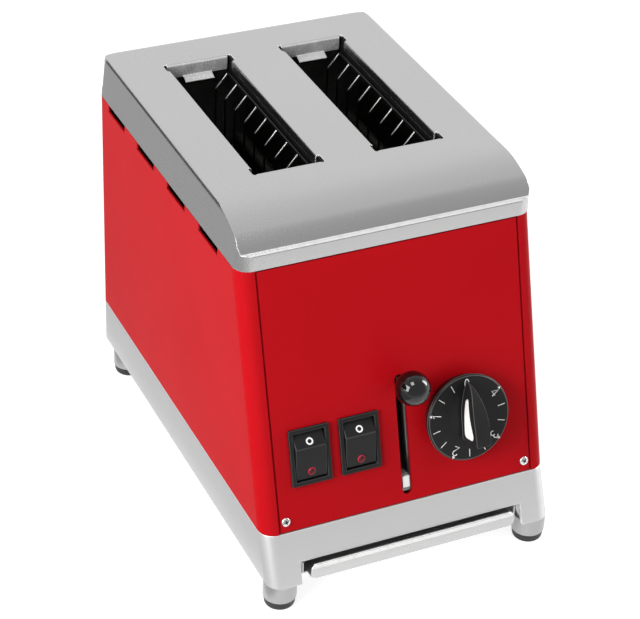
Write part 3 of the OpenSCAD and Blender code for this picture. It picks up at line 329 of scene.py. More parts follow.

# the edge mark is wear, and on faces that pieces mark for it, painted highlight or painted shade
edge_wear_and_painted_light, given = new_effect("Edge wear and painted light", "Worn", ("Edge", 0.0), ("Amount", 0.5))
patchy = stretch(edge_wear_and_painted_light, noise(edge_wear_and_painted_light, given["Vector"], 160.0, 3.0, 0.6), 0.3, 0.75, 0.7, 1.0)
wear_and_painted_light = maths(edge_wear_and_painted_light, "MULTIPLY", times(edge_wear_and_painted_light, given["Edge"], given["Amount"]), patchy, True)
add_node(edge_wear_and_painted_light, "NodeGroupOutput", {0: wear_and_painted_light})
print("effects:", [t.name for t in (brushed_lines, soft_marks, fine_grain, edge_wear_and_painted_light)])

# %% [markdown]
# ## Finishes
# Every finish has the same skeleton: a grain (brushed or moulded) and soft marks vary its colour and roughness, the
# grain also raises a bump, and the edge attribute of a piece shows wear, and on some faces painted highlight or
# painted shade. So one function builds them all, and a table gives each finish its values. Numbers that don't change
# over a surface, such as metallic or the specular level, are set straight on the Principled shader.

# %% Finish builder
MARKS_PART, GRAIN_PART, BUMP_DEPTH, WORN_METAL, COAT_ROUGH = 0.6, 0.4, 0.0002, 0.3, 0.08


def srgb(red, green, blue):
    """A colour written as screen values from 0 to 255, as linear numbers."""
    def linear(v):
        v /= 255
        return v / 12.92 if v <= 0.04045 else ((v + 0.055) / 1.055) ** 2.4
    return linear(red), linear(green), linear(blue), 1.0


def make_finish(name, colour, shade, rough, metallic=0.0, lines=None, grain=900.0, marks=18.0, tone=0.25,
                bump=0.1, edge=None, wear=0.0, specular=0.5, coat=0.0):
    """A material. Colour and shade are its two tones, rough its roughness range, lines the brushing's scale."""
    material, tree = new_material(name)
    place = add_node(tree, "ShaderNodeTexCoord").outputs["Object"]
    marked = add_node(tree, "ShaderNodeGroup", node_tree=soft_marks)
    grained = add_node(tree, "ShaderNodeGroup", node_tree=brushed_lines if lines else fine_grain)
    marked.inputs["Scale"].default_value = marks
    tree.links.new(place, marked.inputs["Vector"])
    along = place
    if lines:
        along = add_node(tree, "ShaderNodeMapping", {"Vector": place, "Scale": lines}).outputs[0]
    else:
        grained.inputs["Scale"].default_value = grain
    tree.links.new(along, grained.inputs["Vector"])
    both = maths(tree, "MULTIPLY_ADD", marked, MARKS_PART)
    tree.links.new(times(tree, grained.outputs[0], GRAIN_PART), both.node.inputs[2])
    base = mix_colours(tree, times(tree, both, tone), colour, shade)
    # the edge colour is wear on most faces, and painted highlight or painted shade on the faces a piece marks for it
    if edge:
        wear_and_painted_light = add_node(tree, "ShaderNodeGroup", node_tree=edge_wear_and_painted_light)
        edges = add_node(tree, "ShaderNodeAttribute", attribute_name="edge")
        tree.links.new(place, wear_and_painted_light.inputs["Vector"])
        tree.links.new(edges.outputs["Fac"], wear_and_painted_light.inputs["Edge"])
        wear_and_painted_light.inputs["Amount"].default_value = wear
        base = mix_colours(tree, wear_and_painted_light, base, edge)
        if metallic:
            metallic = stretch(tree, wear_and_painted_light, 0.0, 1.0, metallic, WORN_METAL * metallic)
    raised = add_node(tree, "ShaderNodeBump", {"Height": grained, "Strength": bump, "Distance": BUMP_DEPTH})
    shader = add_node(tree, "ShaderNodeBsdfPrincipled", {
        "Base Color": base, "Metallic": metallic, "Roughness": stretch(tree, both, 0.0, 1.0, *rough),
        "Normal": raised, "Specular IOR Level": specular, "Coat Weight": coat})
    if coat:
        shader.inputs["Coat Roughness"].default_value = COAT_ROUGH
    add_node(tree, "ShaderNodeOutputMaterial", {"Surface": shader})
    return material


print("finish builder ready")

# %% [markdown]
# The table below follows the record's material slots. Steel and aluminium get long brushing along the sheet,
# the paint and plastics a fine grain, and what lies near the heat is darker and bluer.

# %% Finish table
ALONG_Y, ALONG_X, ALONG_Z = (1500, 14, 1500), (14, 1500, 1500), (1500, 1500, 14)
GREY = [srgb(g, g, g) for g in range(256)]
FINISHES = {
    # the edge colour is wear on the bevels and painted highlight on the ledge and the slot ends
    "stainless": ("Satin stainless", GREY[195], GREY[188], (0.22, 0.30), dict(
        metallic=1.0, lines=ALONG_Y, marks=9, tone=0.5, bump=0.015, edge=GREY[240], wear=1.2)),
    "red_paint": ("Red satin paint", srgb(192, 16, 26), srgb(182, 12, 21), (0.28, 0.36), dict(
        grain=1400, marks=12, tone=0.7, bump=0.06, edge=srgb(60, 2, 8), wear=1.2, specular=0.04)),
    "base_metal": ("Satin aluminium", GREY[222], GREY[208], (0.34, 0.42), dict(
        metallic=0.75, lines=ALONG_X, marks=10, tone=0.6, bump=0.05, edge=GREY[240], wear=0.8)),
    "foot_metal": ("Turned foot", GREY[174], GREY[164], (0.26, 0.34), dict(
        metallic=0.7, lines=ALONG_Z, tone=0.4, bump=0.02, edge=GREY[240], wear=0.6)),
    # the edge colour is wear on the bevels and painted highlight on the top of the rolled lip
    "tray_metal": ("Tray sheet", GREY[200], GREY[190], (0.22, 0.32), dict(
        metallic=0.8, lines=ALONG_X, tone=0.6, bump=0.02, edge=GREY[250], wear=1.2)),
    "rubber_black": ("Foot rubber", GREY[24], GREY[34], (0.45, 0.6), dict(grain=1200, bump=0.2)),
    # the edge colour, near black, is painted shade down in the screws' cross
    "fastener": ("Bright screw", GREY[230], GREY[202], (0.18, 0.32), dict(
        metallic=1.0, lines=ALONG_Z, tone=0.5, bump=0.05, edge=GREY[10], wear=1.6)),
    "zinc_sheet": ("Zinc sheet", GREY[150], GREY[90], (0.35, 0.55), dict(
        metallic=1.0, marks=45, tone=0.8, bump=0.08, edge=GREY[202], wear=0.4)),
    "reflector": ("Heat-stained reflector", srgb(120, 112, 104), srgb(70, 66, 74), (0.28, 0.5), dict(
        metallic=1.0, lines=ALONG_Y, marks=14, tone=0.9, bump=0.06)),
    # the edge colour, near black, is painted shade on the wires below the bend and on the rails
    "bright_wire": ("Bright wire", GREY[195], GREY[150], (0.28, 0.40), dict(
        metallic=1.0, lines=ALONG_Z, tone=0.6, bump=0.04, edge=GREY[10], wear=1.5)),
    "element_sheath": ("Oxidised sheath", srgb(62, 62, 54), srgb(38, 36, 38), (0.5, 0.7), dict(
        metallic=0.6, marks=60, tone=0.9, bump=0.15)),
    "ceramic": ("Steatite", srgb(226, 220, 204), srgb(206, 198, 180), (0.45, 0.6), dict(bump=0.1)),
    "spring_steel": ("Spring steel", GREY[188], GREY[120], (0.2, 0.35), dict(
        metallic=1.0, lines=ALONG_Z, tone=0.6, bump=0.04)),
    "sinter_brass": ("Sintered bronze", srgb(176, 134, 72), srgb(140, 100, 52), (0.4, 0.55), dict(
        metallic=1.0, bump=0.15, tone=0.8)),
    "nylon_white": ("White nylon", srgb(252, 252, 249), srgb(243, 242, 238), (0.4, 0.5), dict(
        bump=0.06, specular=0.4)),
    "black_matte": ("Matt black plastic", GREY[24], GREY[34], (0.36, 0.48), dict(
        grain=1600, bump=0.2, tone=0.5, edge=GREY[90], wear=0.6, specular=0.25)),
    # the edge colour is wear on the edges and a little painted sheen on the grip
    "dial_black": ("Dial plastic", GREY[16], GREY[34], (0.34, 0.44), dict(
        grain=1500, bump=0.1, tone=0.5, edge=GREY[120], wear=0.9, specular=0.25)),
    "ball_black": ("Polished ball", GREY[10], GREY[16], (0.03, 0.06), dict(
        grain=1200, bump=0.005, tone=0.5, coat=0.2)),
    "white_print": ("White print", srgb(254, 254, 252), srgb(247, 246, 243), (0.4, 0.5), dict(
        bump=0.04, specular=0.3)),
    "lens_red": ("Red lens", srgb(84, 8, 18), srgb(60, 3, 10), (0.26, 0.36), dict(
        grain=700, bump=0.08, tone=0.8, edge=srgb(204, 34, 58), wear=1.4, specular=0.35)),
}
finishes = {slot: make_finish(*values, **more) for slot, (*values, more) in FINISHES.items()}
# the slot liners are painted dark grey as painted shade down in the slots
shaded_liner = make_finish("Liner with painted shade", GREY[60], GREY[34], (0.4, 0.6), metallic=0.9, marks=40, tone=0.9,
                       edge=GREY[90], wear=0.4)
print("finishes:", len(finishes) + 1)

# %% [markdown]
# ## Softened edges
# Sheet metal and mouldings never have razor edges, and the thin bright lines along the edges of the lid, base and
# switches are small rounded bends that catch the light. A CAD mesh is loose triangles, so a copy of it is merged
# and its flat faces dissolved. Then a Bevel modifier rounds the edges that are sharper than a limit. They are marked
# by a weight, and clamping is off, because one tiny edge would thin all of them. The modifier puts its new faces into
# a second material slot. That mark becomes the edge attribute that the wear reads: 1 in the middle of a rounded edge
# and 0 where the flat faces begin. Last, a Weighted Normal modifier lets the large faces decide the shading, because
# smooth shading alone would draw fans across them from the rounded edges.

# %% Mesh helpers


def settle(piece):
    """Turns a piece with modifiers into a plain mesh."""
    evaluated = piece.evaluated_get(bpy.context.evaluated_depsgraph_get())
    mesh = bpy.data.meshes.new_from_object(evaluated)
    piece.modifiers.clear()
    piece.data = mesh
    return mesh


def freeze(shape, name):
    """A plain mesh made from a bmesh, which is freed."""
    mesh = bpy.data.meshes.new(name)
    shape.to_mesh(mesh)
    shape.free()
    return mesh


def shade_smooth(mesh, limit):
    """Smooth shading that keeps edges sharper than a limit in degrees."""
    mesh.shade_smooth()
    mesh.set_sharp_from_angle(angle=math.radians(limit))


def link_piece(name, mesh, slot=None):
    """A new object at the origin that shows a mesh, in a slot's finish if one is named."""
    if slot:
        mesh.materials.clear()
        mesh.materials.append(finishes[slot])
    piece = bpy.data.objects.new(name, mesh)
    scene.collection.objects.link(piece)
    return piece


def hold(piece, body, slot, *replaced):
    """The piece moves with a body and stands for CAD nodes. The slot is not used."""
    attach(piece, body)
    if replaced:
        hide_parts(*replaced)
    return piece


print("mesh helpers ready")

# %% Dress helper
MERGE, FLAT, SHARP, SMOOTH = 2e-6, 0.3, 35, 32


def dress(node, soften, segments, reshape=None, wear_and_painted_light=None):
    """Replaces a CAD node by a copy, reshaped and with softened edges. The last argument gives a face's least edge
    value, for wear and painted highlight, or None.
    """
    source = nodes[node]
    slot = source.data.materials[0].name
    shape = bmesh.new()
    shape.from_mesh(source.data)
    bmesh.ops.remove_doubles(shape, verts=shape.verts, dist=MERGE)
    bmesh.ops.dissolve_limit(shape, angle_limit=math.radians(FLAT), verts=shape.verts, edges=shape.edges)
    if reshape:
        reshape(shape)
    weight = shape.edges.layers.float.new("bevel_weight_edge")
    for e in shape.edges:
        if len(e.link_faces) == 2 and e.calc_face_angle(0) > math.radians(SHARP):
            e[weight] = 1.0
    mesh = freeze(shape, node + "_dressed")
    mesh.materials.clear()
    for _ in range(2):
        mesh.materials.append(finishes[slot])
    piece = link_piece(node + "_dressed", mesh)
    bevel = piece.modifiers.new("soft edges", "BEVEL")
    bevel.width, bevel.segments, bevel.limit_method = soften * MM, segments, "WEIGHT"
    bevel.material, bevel.use_clamp_overlap = 1, False
    mesh = settle(piece)
    flat_points = {v for face in mesh.polygons if face.material_index == 0 for v in face.vertices}
    on_edge = []
    for face in mesh.polygons:
        least = wear_and_painted_light(face) if wear_and_painted_light else 0.0
        on_edge += [0.0 if least is None else max(least, float(v not in flat_points)) for v in face.vertices]
        face.material_index = 0
    mark(mesh, on_edge, domain="CORNER")
    mesh.materials.pop(index=1)
    shade_smooth(mesh, SMOOTH)
    flatten = piece.modifiers.new("flat faces stay flat", "WEIGHTED_NORMAL")
    flatten.mode, flatten.weight, flatten.keep_sharp = "FACE_AREA", 100, True
    settle(piece)
    return hold(piece, source["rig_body"], slot, node)


print("dress helper ready")

# %% [markdown]
# Some pieces are reshaped a little before their edges are rounded. The lid's rear corners are drawn in from a square
# to a round outline, more and more towards the top: a few cuts through the corner give the mesh points to move, and
# the formula is the usual one that carries a square onto a disc. The dial's skirt is drawn in towards the panel, so
# that it hides behind the dial's face. The edge between the metal and the rubber of the feet goes up, and the front
# of the lever's white stop block comes forward into the slot.

# %% Reshaping
HALF_W, LID_BACK, LID_LOW = 90, 133.1327, 195
CORNER_R, CORNER_RISE, CORNER_CUTS = 12, 13, 6
DIAL_ACROSS, DIAL_UP, DIAL_FACE = 37, 46.5, 10
SKIRT_R, SKIRT_IN, SKIRT_TOP, SKIRT_LOW = 22, 2.4, 9.2, 1.0
FOOT_EDGE, FOOT_NEAR, FOOT_LIFT = 4, 0.1, 1.9
NOSE_BACK, NOSE_OUT, NOSE_HALF = -3, -0.5, 2.2
dial_axis = on_panel(DIAL_ACROSS, DIAL_UP, 0)


def eased(value):
    """A value kept between 0 and 1 and eased at both ends."""
    value = min(max(value, 0), 1)
    return value * value * (3 - 2 * value)


def round_rear_corners(lid):
    """Draws the lid's rear corners in to a round outline."""
    side, rear = HALF_W - CORNER_R, LID_BACK - CORNER_R
    for i in range(CORNER_CUTS):
        step = CORNER_R * i / CORNER_CUTS
        for place, normal in (((side + step, 0, 0), (1, 0, 0)), ((-side - step, 0, 0), (1, 0, 0)),
                              ((0, rear + step, 0), (0, 1, 0))):
            bmesh.ops.bisect_plane(lid, geom=lid.verts[:] + lid.edges[:] + lid.faces[:],
                                   plane_co=mm(*place), plane_no=normal)
    for v in lid.verts:
        a, b = (abs(v.co.x) / MM - side) / CORNER_R, (v.co.y / MM - rear) / CORNER_R
        if a > 0 and b > 0:
            amount = eased((v.co.z / MM - LID_LOW) / CORNER_RISE)
            round_a, round_b = a * math.sqrt(1 - b * b / 2), b * math.sqrt(1 - a * a / 2)
            v.co.x = math.copysign(side + CORNER_R * (a + (round_a - a) * amount), v.co.x) * MM
            v.co.y = (rear + CORNER_R * (b + (round_b - b) * amount)) * MM


def draw_skirt_in(knob):
    """Draws the dial's skirt in towards the panel."""
    for v in knob.verts:
        across, height, out = dial_axis.inverted() @ v.co / MM
        r = math.hypot(across, height)
        if r > SKIRT_R and out < SKIRT_TOP:
            nearer = 1 - SKIRT_IN / r * (SKIRT_TOP - out) / (SKIRT_TOP - SKIRT_LOW)
            v.co = dial_axis @ mm(across * nearer, height * nearer, out)


def lift_foot_edge(foot):
    """Lifts the edge between a foot's metal and its rubber."""
    for v in foot.verts:
        if abs(v.co.z / MM - FOOT_EDGE) < FOOT_NEAR:
            v.co.z += FOOT_LIFT * MM


def bring_nose_out(block):
    """Draws the front of the lever's stop block into the panel's slot."""
    for v in block.verts:
        across, height, out = panel.inverted() @ v.co / MM
        if out > NOSE_BACK:
            v.co = on_panel(math.copysign(NOSE_HALF, across), height, NOSE_OUT).translation


print("reshaping ready")

# %% [markdown]
# Some faces get a painted highlight: the lid's narrow ledge, the bent ends of its slots and the top of the tray's
# rolled lip are painted bright, and the dial's grip gets a little painted sheen. Those faces count as edges, and the
# upper curved edges of the lid get no edge colour at all.

# %% Painted highlights
LID_TOP, LEDGE_Z, LEDGE_Y, CURVED_EDGE_Z = 221, 205, -84.4, 209
SLOT_X, SLOT_FRONT, SLOT_BACK = 37.3, -33.3673, 101.6327
SIDE_W, LEDGE_NEAR, END_NEAR, TOP_NEAR, FACING = 4, 0.6, 3, 0.3, 0.3
LIP_BACK, LIP_LOW, LIP_FACING = -141, 25.5, 0.1
GRIP_OUT, GRIP_SHEEN, END_HIGHLIGHT = DIAL_FACE + 1, 0.05, 0.6


def lid_painted_highlight(face):
    """How much painted highlight a face of the lid gets, or None on the upper curved edges, which get no edge colour.
    """
    x, y, z = face.center / MM
    if abs(x) > HALF_W - SIDE_W and y < SLOT_FRONT and z > CURVED_EDGE_Z:
        return None
    if abs(z - LEDGE_Z) < LEDGE_NEAR and y < LEDGE_Y and face.normal.z > FACING:
        return 1.0
    if abs(y - SLOT_BACK) < END_NEAR and z < LID_TOP - TOP_NEAR and face.normal.y < -FACING:
        return END_HIGHLIGHT
    return 0.0


def tray_painted_highlight(face):
    """How much painted highlight a face of the tray gets: the top of its rolled lip is painted bright."""
    on_lip = face.center.y / MM < LIP_BACK and face.center.z / MM > LIP_LOW
    return 1.0 if on_lip and face.normal.z > LIP_FACING else 0.0


def dial_painted_sheen(face):
    """How much lighter a face of the dial is: its grip gets a little painted sheen."""
    return GRIP_SHEEN if (dial_axis.inverted() @ face.center).z / MM > GRIP_OUT else 0.0


print("painted highlights ready")

# %% [markdown]
# The outer pieces are dressed one after another. The width of the softened edge, in millimetres, is that of the real
# piece: small on thin sheet, larger on mouldings. The number after it says how finely the edge is rounded. The
# lever's white slider is painted black, as painted shade in its slot, so that it doesn't show there.

# %% Outer pieces
SOFTENED = {
    "base_frame": (0.5, 2), "body_wrap": (0.3, 2), "front_panel": (0.5, 2), "top_cover": (0.3, 3),
    "foot_sleeves": (0.5, 2), "foot_pads": (0.3, 2), "crumb_tray": (0.3, 2), "switch_left": (0.5, 2),
    "switch_right": (0.5, 2), "rocker_left": (0.6, 2), "rocker_right": (0.6, 2), "dial_knob": (0.35, 2),
    "dial_insert": (0.3, 2), "lever_slider": (0.3, 2), "lever_buffer": (0.4, 2), "cord_gland": (0.4, 2),
}
RESHAPED = {"top_cover": round_rear_corners, "dial_knob": draw_skirt_in, "foot_sleeves": lift_foot_edge,
            "foot_pads": lift_foot_edge, "lever_buffer": bring_nose_out}
PAINTED_HIGHLIGHTS = {"top_cover": lid_painted_highlight, "dial_knob": dial_painted_sheen, "crumb_tray": tray_painted_highlight}
for node, (soften, segments) in SOFTENED.items():
    piece = dress(node, soften, segments, RESHAPED.get(node), PAINTED_HIGHLIGHTS.get(node))
    # the white slider is painted black as painted shade in its slot
    if node == "lever_slider":
        piece.data.materials[0] = finishes["black_matte"]
    print(piece.name, len(piece.data.polygons), "faces")

# %% [markdown]
# ## Geometry Nodes helpers
# What repeats or follows a path is made by Geometry Nodes: a tree with named inputs for its sizes hangs on an
# object as a modifier. The inputs are set by their identifiers, before the object is evaluated for the first time,
# and the result is turned into a plain mesh.

# %% Geometry Nodes helpers


def new_rule(name, *inputs):
    """An empty Geometry Nodes tree with named inputs, a finish last, and its input sockets."""
    tree = bpy.data.node_groups.new(name, "GeometryNodeTree")
    for label, kind in (("Geometry", "Geometry"), *inputs, ("Finish", "Material")):
        tree.interface.new_socket(label, in_out="INPUT", socket_type="NodeSocket" + kind)
    tree.interface.new_socket("Geometry", in_out="OUTPUT", socket_type="NodeSocketGeometry")
    return tree, tree.nodes.new("NodeGroupInput").outputs


def close_rule(tree, given, geometry, smooth=False):
    """Ends a tree, which is returned: smooth shading if wanted, real instances and the finish."""
    if smooth:
        geometry = add_node(tree, "GeometryNodeSetShadeSmooth", {"Geometry": geometry})
    real = add_node(tree, "GeometryNodeRealizeInstances", {"Geometry": geometry})
    painted = add_node(tree, "GeometryNodeSetMaterial", {"Geometry": real, "Material": given["Finish"]})
    add_node(tree, "NodeGroupOutput", {0: painted})
    print(tree.name, "has", len(tree.nodes), "nodes")
    return tree


def set_mode(made, words, code):
    """Sets a node's mode, which is an input in newer versions of Blender and a setting in older ones."""
    if "Mode" in made.inputs:
        made.inputs["Mode"].default_value = words
    else:
        made.mode = code


def grow(name, tree, slot, values, points=(), edges=()):
    """A piece in a slot's finish, made by a tree from a starting mesh of points and edges."""
    mesh = bpy.data.meshes.new(name)
    mesh.from_pydata(list(points), list(edges), [])
    piece = link_piece(name, mesh)
    rule = piece.modifiers.new("rule", "NODES")
    rule.node_group = tree
    values = {"Finish": finishes[slot], **values}
    for item in tree.interface.items_tree:
        if item.item_type == "SOCKET" and item.in_out == "INPUT" and item.name in values:
            rule[item.identifier] = values[item.name]
    settle(piece)
    print(name, len(piece.data.polygons), "faces")
    return piece


def tube(tree, curve, radius, sides=12):
    """A node that makes a tube with closed ends round a curve."""
    ring = add_node(tree, "GeometryNodeCurvePrimitiveCircle", {"Resolution": sides, "Radius": radius})
    return add_node(tree, "GeometryNodeCurveToMesh", {"Curve": curve, "Profile Curve": ring, "Fill Caps": True})


print("rule helpers ready")

# %% [markdown]
# ## Bread guards
# On each side of a slot a row of bright wires keeps the bread off the heating elements. A wire runs straight up and
# flares outwards under the lid, where a rail joins the tops. Here the wire's path is the starting mesh, Fillet Curve
# rounds its bend, and the finished tube is repeated along a line. The rails are tubes of their own. A mirror would
# turn the second guard inside out, so the side is simply a sign in the sizes. The wires below the bend and the rails
# are painted dark as painted shade down in the slot, so the edge attribute is 1 there, and falls to 0 above the bend.

# %% Bread guard rule
CHAMBER_MORE, FIRST_WIRE = 10.5, SLOT_BACK - 0.5
WIRE_R, RAIL_R, WIRE_X, RAIL_X = 0.6, 1.0, 11.9, 19.8
WIRE_LOW, WIRE_BEND, WIRE_TOP = 54, 200.2, 209.8
WIRE_SHADE_LOW, WIRE_SHADE_HIGH = WIRE_BEND - 0.5, WIRE_BEND + 3
RAILS, RAIL_LOW, RAIL_STEP = 3, 62, 46
WIRES, WIRE_STEP, BEND_R, BEND_POINTS = 9, 15, 3, 5

tree, given = new_rule(
    "Bread guard", ("Wires", "Int"), ("First wire", "Vector"), ("Wire step", "Vector"), ("Wire radius", "Float"),
    ("Bend radius", "Float"), ("Rail radius", "Float"), ("Rail start", "Vector"), ("Rail end", "Vector"),
    ("Rail step", "Vector"), ("Top start", "Vector"), ("Top end", "Vector"))
path = add_node(tree, "GeometryNodeMeshToCurve", {"Mesh": given["Geometry"]})
bent = add_node(tree, "GeometryNodeFilletCurve", {"Curve": path, "Radius": given["Bend radius"]})
set_mode(bent, "Poly", "POLY")
bent.inputs["Count"].default_value = BEND_POINTS
row = add_node(tree, "GeometryNodeMeshLine", {
    "Count": given["Wires"], "Start Location": given["First wire"], "Offset": given["Wire step"]})
wires = add_node(tree, "GeometryNodeInstanceOnPoints", {
    "Points": row, "Instance": tube(tree, bent, given["Wire radius"])})
rail = add_node(tree, "GeometryNodeCurvePrimitiveLine", {"Start": given["Rail start"], "End": given["Rail end"]})
storeys = add_node(tree, "GeometryNodeMeshLine", {"Count": RAILS, "Offset": given["Rail step"]})
rails = add_node(tree, "GeometryNodeInstanceOnPoints", {
    "Points": storeys, "Instance": tube(tree, rail, given["Rail radius"])})
top = add_node(tree, "GeometryNodeCurvePrimitiveLine", {"Start": given["Top start"], "End": given["Top end"]})
point = add_node(tree, "GeometryNodeInputPosition")
height = add_node(tree, "ShaderNodeSeparateXYZ", {0: point}).outputs["Z"]
# painted shade: 1 below the bend, 0 above it
shade_by_height = stretch(tree, height, WIRE_SHADE_LOW * MM, WIRE_SHADE_HIGH * MM, 1.0, 0.0)
whole = add_node(tree, "GeometryNodeJoinGeometry")
for part, wire_shade in ((tube(tree, top, given["Rail radius"]), 1.0), (wires, shade_by_height), (rails, 1.0)):
    real = add_node(tree, "GeometryNodeRealizeInstances", {0: part})
    shaded_part = add_node(tree, "GeometryNodeStoreNamedAttribute", {
        "Geometry": real, "Name": "edge", "Value": wire_shade}, data_type="FLOAT", domain="POINT")
    tree.links.new(shaded_part.outputs[0], whole.inputs[0])
guard_rule = close_rule(tree, given, whole, smooth=True)

# %% Bread guards
for number, (slot_side, side) in enumerate([(-1, -1), (-1, 1), (1, -1), (1, 1)], 1):
    middle = slot_side * SLOT_X
    wire_x, rail_x, top_x = (middle + side * d for d in (WIRE_X, WIRE_X + WIRE_R, RAIL_X))
    wire_path = [mm(x, 0, z) for x, z in ((wire_x, WIRE_LOW), (wire_x, WIRE_BEND), (top_x, WIRE_TOP))]
    guard = grow(f"guard_{number}_wires", guard_rule, "bright_wire", {
        "Wires": WIRES, "First wire": mm(0, FIRST_WIRE, 0), "Wire step": mm(0, -WIRE_STEP, 0),
        "Wire radius": WIRE_R * MM, "Bend radius": BEND_R * MM, "Rail radius": RAIL_R * MM,
        "Rail start": mm(rail_x, SLOT_FRONT - CHAMBER_MORE, RAIL_LOW),
        "Rail end": mm(rail_x, SLOT_BACK + CHAMBER_MORE, RAIL_LOW), "Rail step": mm(0, 0, RAIL_STEP),
        "Top start": mm(top_x, SLOT_FRONT, WIRE_TOP), "Top end": mm(top_x, SLOT_BACK, WIRE_TOP)},
        wire_path, [(0, 1), (1, 2)])
    hold(guard, "housing", "bright_wire", f"guard_{number}")

# %% [markdown]
# ## Return springs
# Two springs pull the carriage back up. Their wire follows a rule: it turns at a steady rate, lies almost closed at
# both ends and opens between them. A line of points is wound up by Set Position, from each point's share of the line.
# The wound piece is not attached to a body, so it keeps its length when the carriage goes down.

# %% Spring rule
SPRING_X, SPRING_Y, SPRING_LOW, SPRING_L = 41, -58.3673, 127.898, 54
SPRING_R, SPRING_WIRE, CURLS, CLOSED_STEP, CLOSED_PART, CURL_POINTS = 4, 0.6, 14, 1.25, 0.09, 24

tree, given = new_rule(
    "Return springs", ("Curls", "Float"), ("Coil radius", "Float"), ("Wire radius", "Float"),
    ("Closed rise", "Float"), ("Open rise", "Float"), ("First", "Vector"), ("Step", "Vector"))
line = add_node(tree, "GeometryNodeCurvePrimitiveLine", {"End": mm(0, 0, SPRING_L)})
beads = add_node(tree, "GeometryNodeResampleCurve", {"Curve": line, "Count": CURLS * CURL_POINTS + 1})
share = add_node(tree, "GeometryNodeSplineParameter").outputs["Factor"]
turn = times(tree, times(tree, share, given["Curls"]), 2 * math.pi)
open_part = times(tree, stretch(tree, share, CLOSED_PART, 1 - CLOSED_PART, 0.0, 1.0), given["Open rise"])
rise = maths(tree, "ADD", times(tree, share, given["Closed rise"]), open_part)
wound = add_node(tree, "ShaderNodeCombineXYZ", {
    "X": times(tree, maths(tree, "COSINE", turn, 0.0), given["Coil radius"]),
    "Y": times(tree, maths(tree, "SINE", turn, 0.0), given["Coil radius"]),
    "Z": maths(tree, "ADD", rise, given["Wire radius"])})
coil = add_node(tree, "GeometryNodeSetPosition", {"Geometry": beads, "Position": wound})
pair = add_node(tree, "GeometryNodeMeshLine", {"Count": 2, "Start Location": given["First"], "Offset": given["Step"]})
both_springs = add_node(tree, "GeometryNodeInstanceOnPoints", {
    "Points": pair, "Instance": tube(tree, coil, given["Wire radius"], sides=10)})
spring_rule = close_rule(tree, given, both_springs, smooth=True)

# %% Return springs
closed_rise = CURLS * CLOSED_STEP
springs = grow("return_springs_wound", spring_rule, "spring_steel", {
    "Curls": float(CURLS), "Coil radius": SPRING_R * MM, "Wire radius": SPRING_WIRE * MM,
    "Closed rise": closed_rise * MM, "Open rise": (SPRING_L - closed_rise - 2 * SPRING_WIRE) * MM,
    "First": mm(-SPRING_X, SPRING_Y, SPRING_LOW), "Step": mm(2 * SPRING_X, 0, 0)})
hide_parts("return_springs")
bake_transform(springs)

# %% [markdown]
# ## Panel screws
# Two bright cross-head screws hold the panel's lower corners. The head is turned from a profile, a cutter of two
# tapered bars takes out the cross, and a tree sets a copy of it on each point of the starting mesh, turned a little
# differently each time, as hand-driven screws are.

# %% Turned shapes
TURNED_SMOOTH, WELD = 30, 1e-6


def turned(name, profile, steps=48):
    """A closed mesh turned round Z from a profile of radius and height in millimetres."""
    shape = bmesh.new()
    line_points = [shape.verts.new((r * MM, 0, z * MM)) for r, z in profile]
    line_edges = [shape.edges.new(pair) for pair in zip(line_points, line_points[1:])]
    bmesh.ops.spin(shape, geom=line_points + line_edges, cent=(0, 0, 0), axis=(0, 0, 1), dvec=(0, 0, 0),
                   angle=2 * math.pi, steps=steps, use_merge=True)
    bmesh.ops.remove_doubles(shape, verts=shape.verts, dist=WELD)
    bmesh.ops.recalc_face_normals(shape, faces=shape.faces)
    return freeze(shape, name)


def dome(radius, low, rise, first, step):
    """Profile points of a dome, from an angle in degrees up to its top."""
    turns = [math.radians(d) for d in range(first, 90, step)]
    return [(radius * math.cos(t), low + rise * math.sin(t)) for t in turns] + [(0, low + rise)]


print("turning ready")

# %% Screw head
HEAD_R, HEAD_H, HEAD_RIM, SHANK_R, SHANK_L = 2.7, 1.25, 0.15, 1.5, 3.6
CROSS_LOW, CROSS_HIGH = (1.8, 0.75, 0.2), (3.8, 0.95, 2.0)
CROSS_SHADE_R, CROSS_SHADE_LOW, CROSS_SHADE_DEEP = 2.0, 0.1, 0.2

profile = [(0, -SHANK_L), (SHANK_R, -SHANK_L), (SHANK_R, 0), (HEAD_R - HEAD_RIM, 0), (HEAD_R, HEAD_RIM)]
profile += dome(HEAD_R, HEAD_RIM, HEAD_H - HEAD_RIM, first=12, step=13)
head = link_piece("screw_pattern", turned("screw_pattern", profile))
wings = bmesh.new()
for turn_by in (0, math.pi / 2):
    bar = bmesh.ops.create_cube(wings, size=1)["verts"]
    for v in bar:
        length, width, up_to = CROSS_LOW if v.co.z < 0 else CROSS_HIGH
        v.co = mm(v.co.x * length, v.co.y * width, up_to)
    bmesh.ops.rotate(wings, verts=bar, cent=(0, 0, 0), matrix=Matrix.Rotation(turn_by, 3, "Z"))
cutter = link_piece("cross_cutter", freeze(wings, "cross_cutter"))
cut = head.modifiers.new("cross", "BOOLEAN")
cut.operation, cut.object, cut.solver, cut.use_self = "DIFFERENCE", cutter, "EXACT", True
settle(head)
bpy.data.objects.remove(cutter)
shade_smooth(head.data, TURNED_SMOOTH)


def in_cross(point):
    """1 for a point down in the cross, which gets painted shade, and 0 for one on the head's surface."""
    r, z = point.xy.length / MM, point.z / MM
    surface = HEAD_RIM + (HEAD_H - HEAD_RIM) * math.sqrt(max(0, 1 - (r / HEAD_R) ** 2))
    return float(r < CROSS_SHADE_R and CROSS_SHADE_LOW < z < surface - CROSS_SHADE_DEEP)


# points down in the cross are marked for painted shade
cross_shade = [in_cross(v.co) for v in head.data.vertices]
mark(head.data, cross_shade)
print("screw head", len(head.data.polygons), "faces,", int(sum(cross_shade)), "points in the cross")

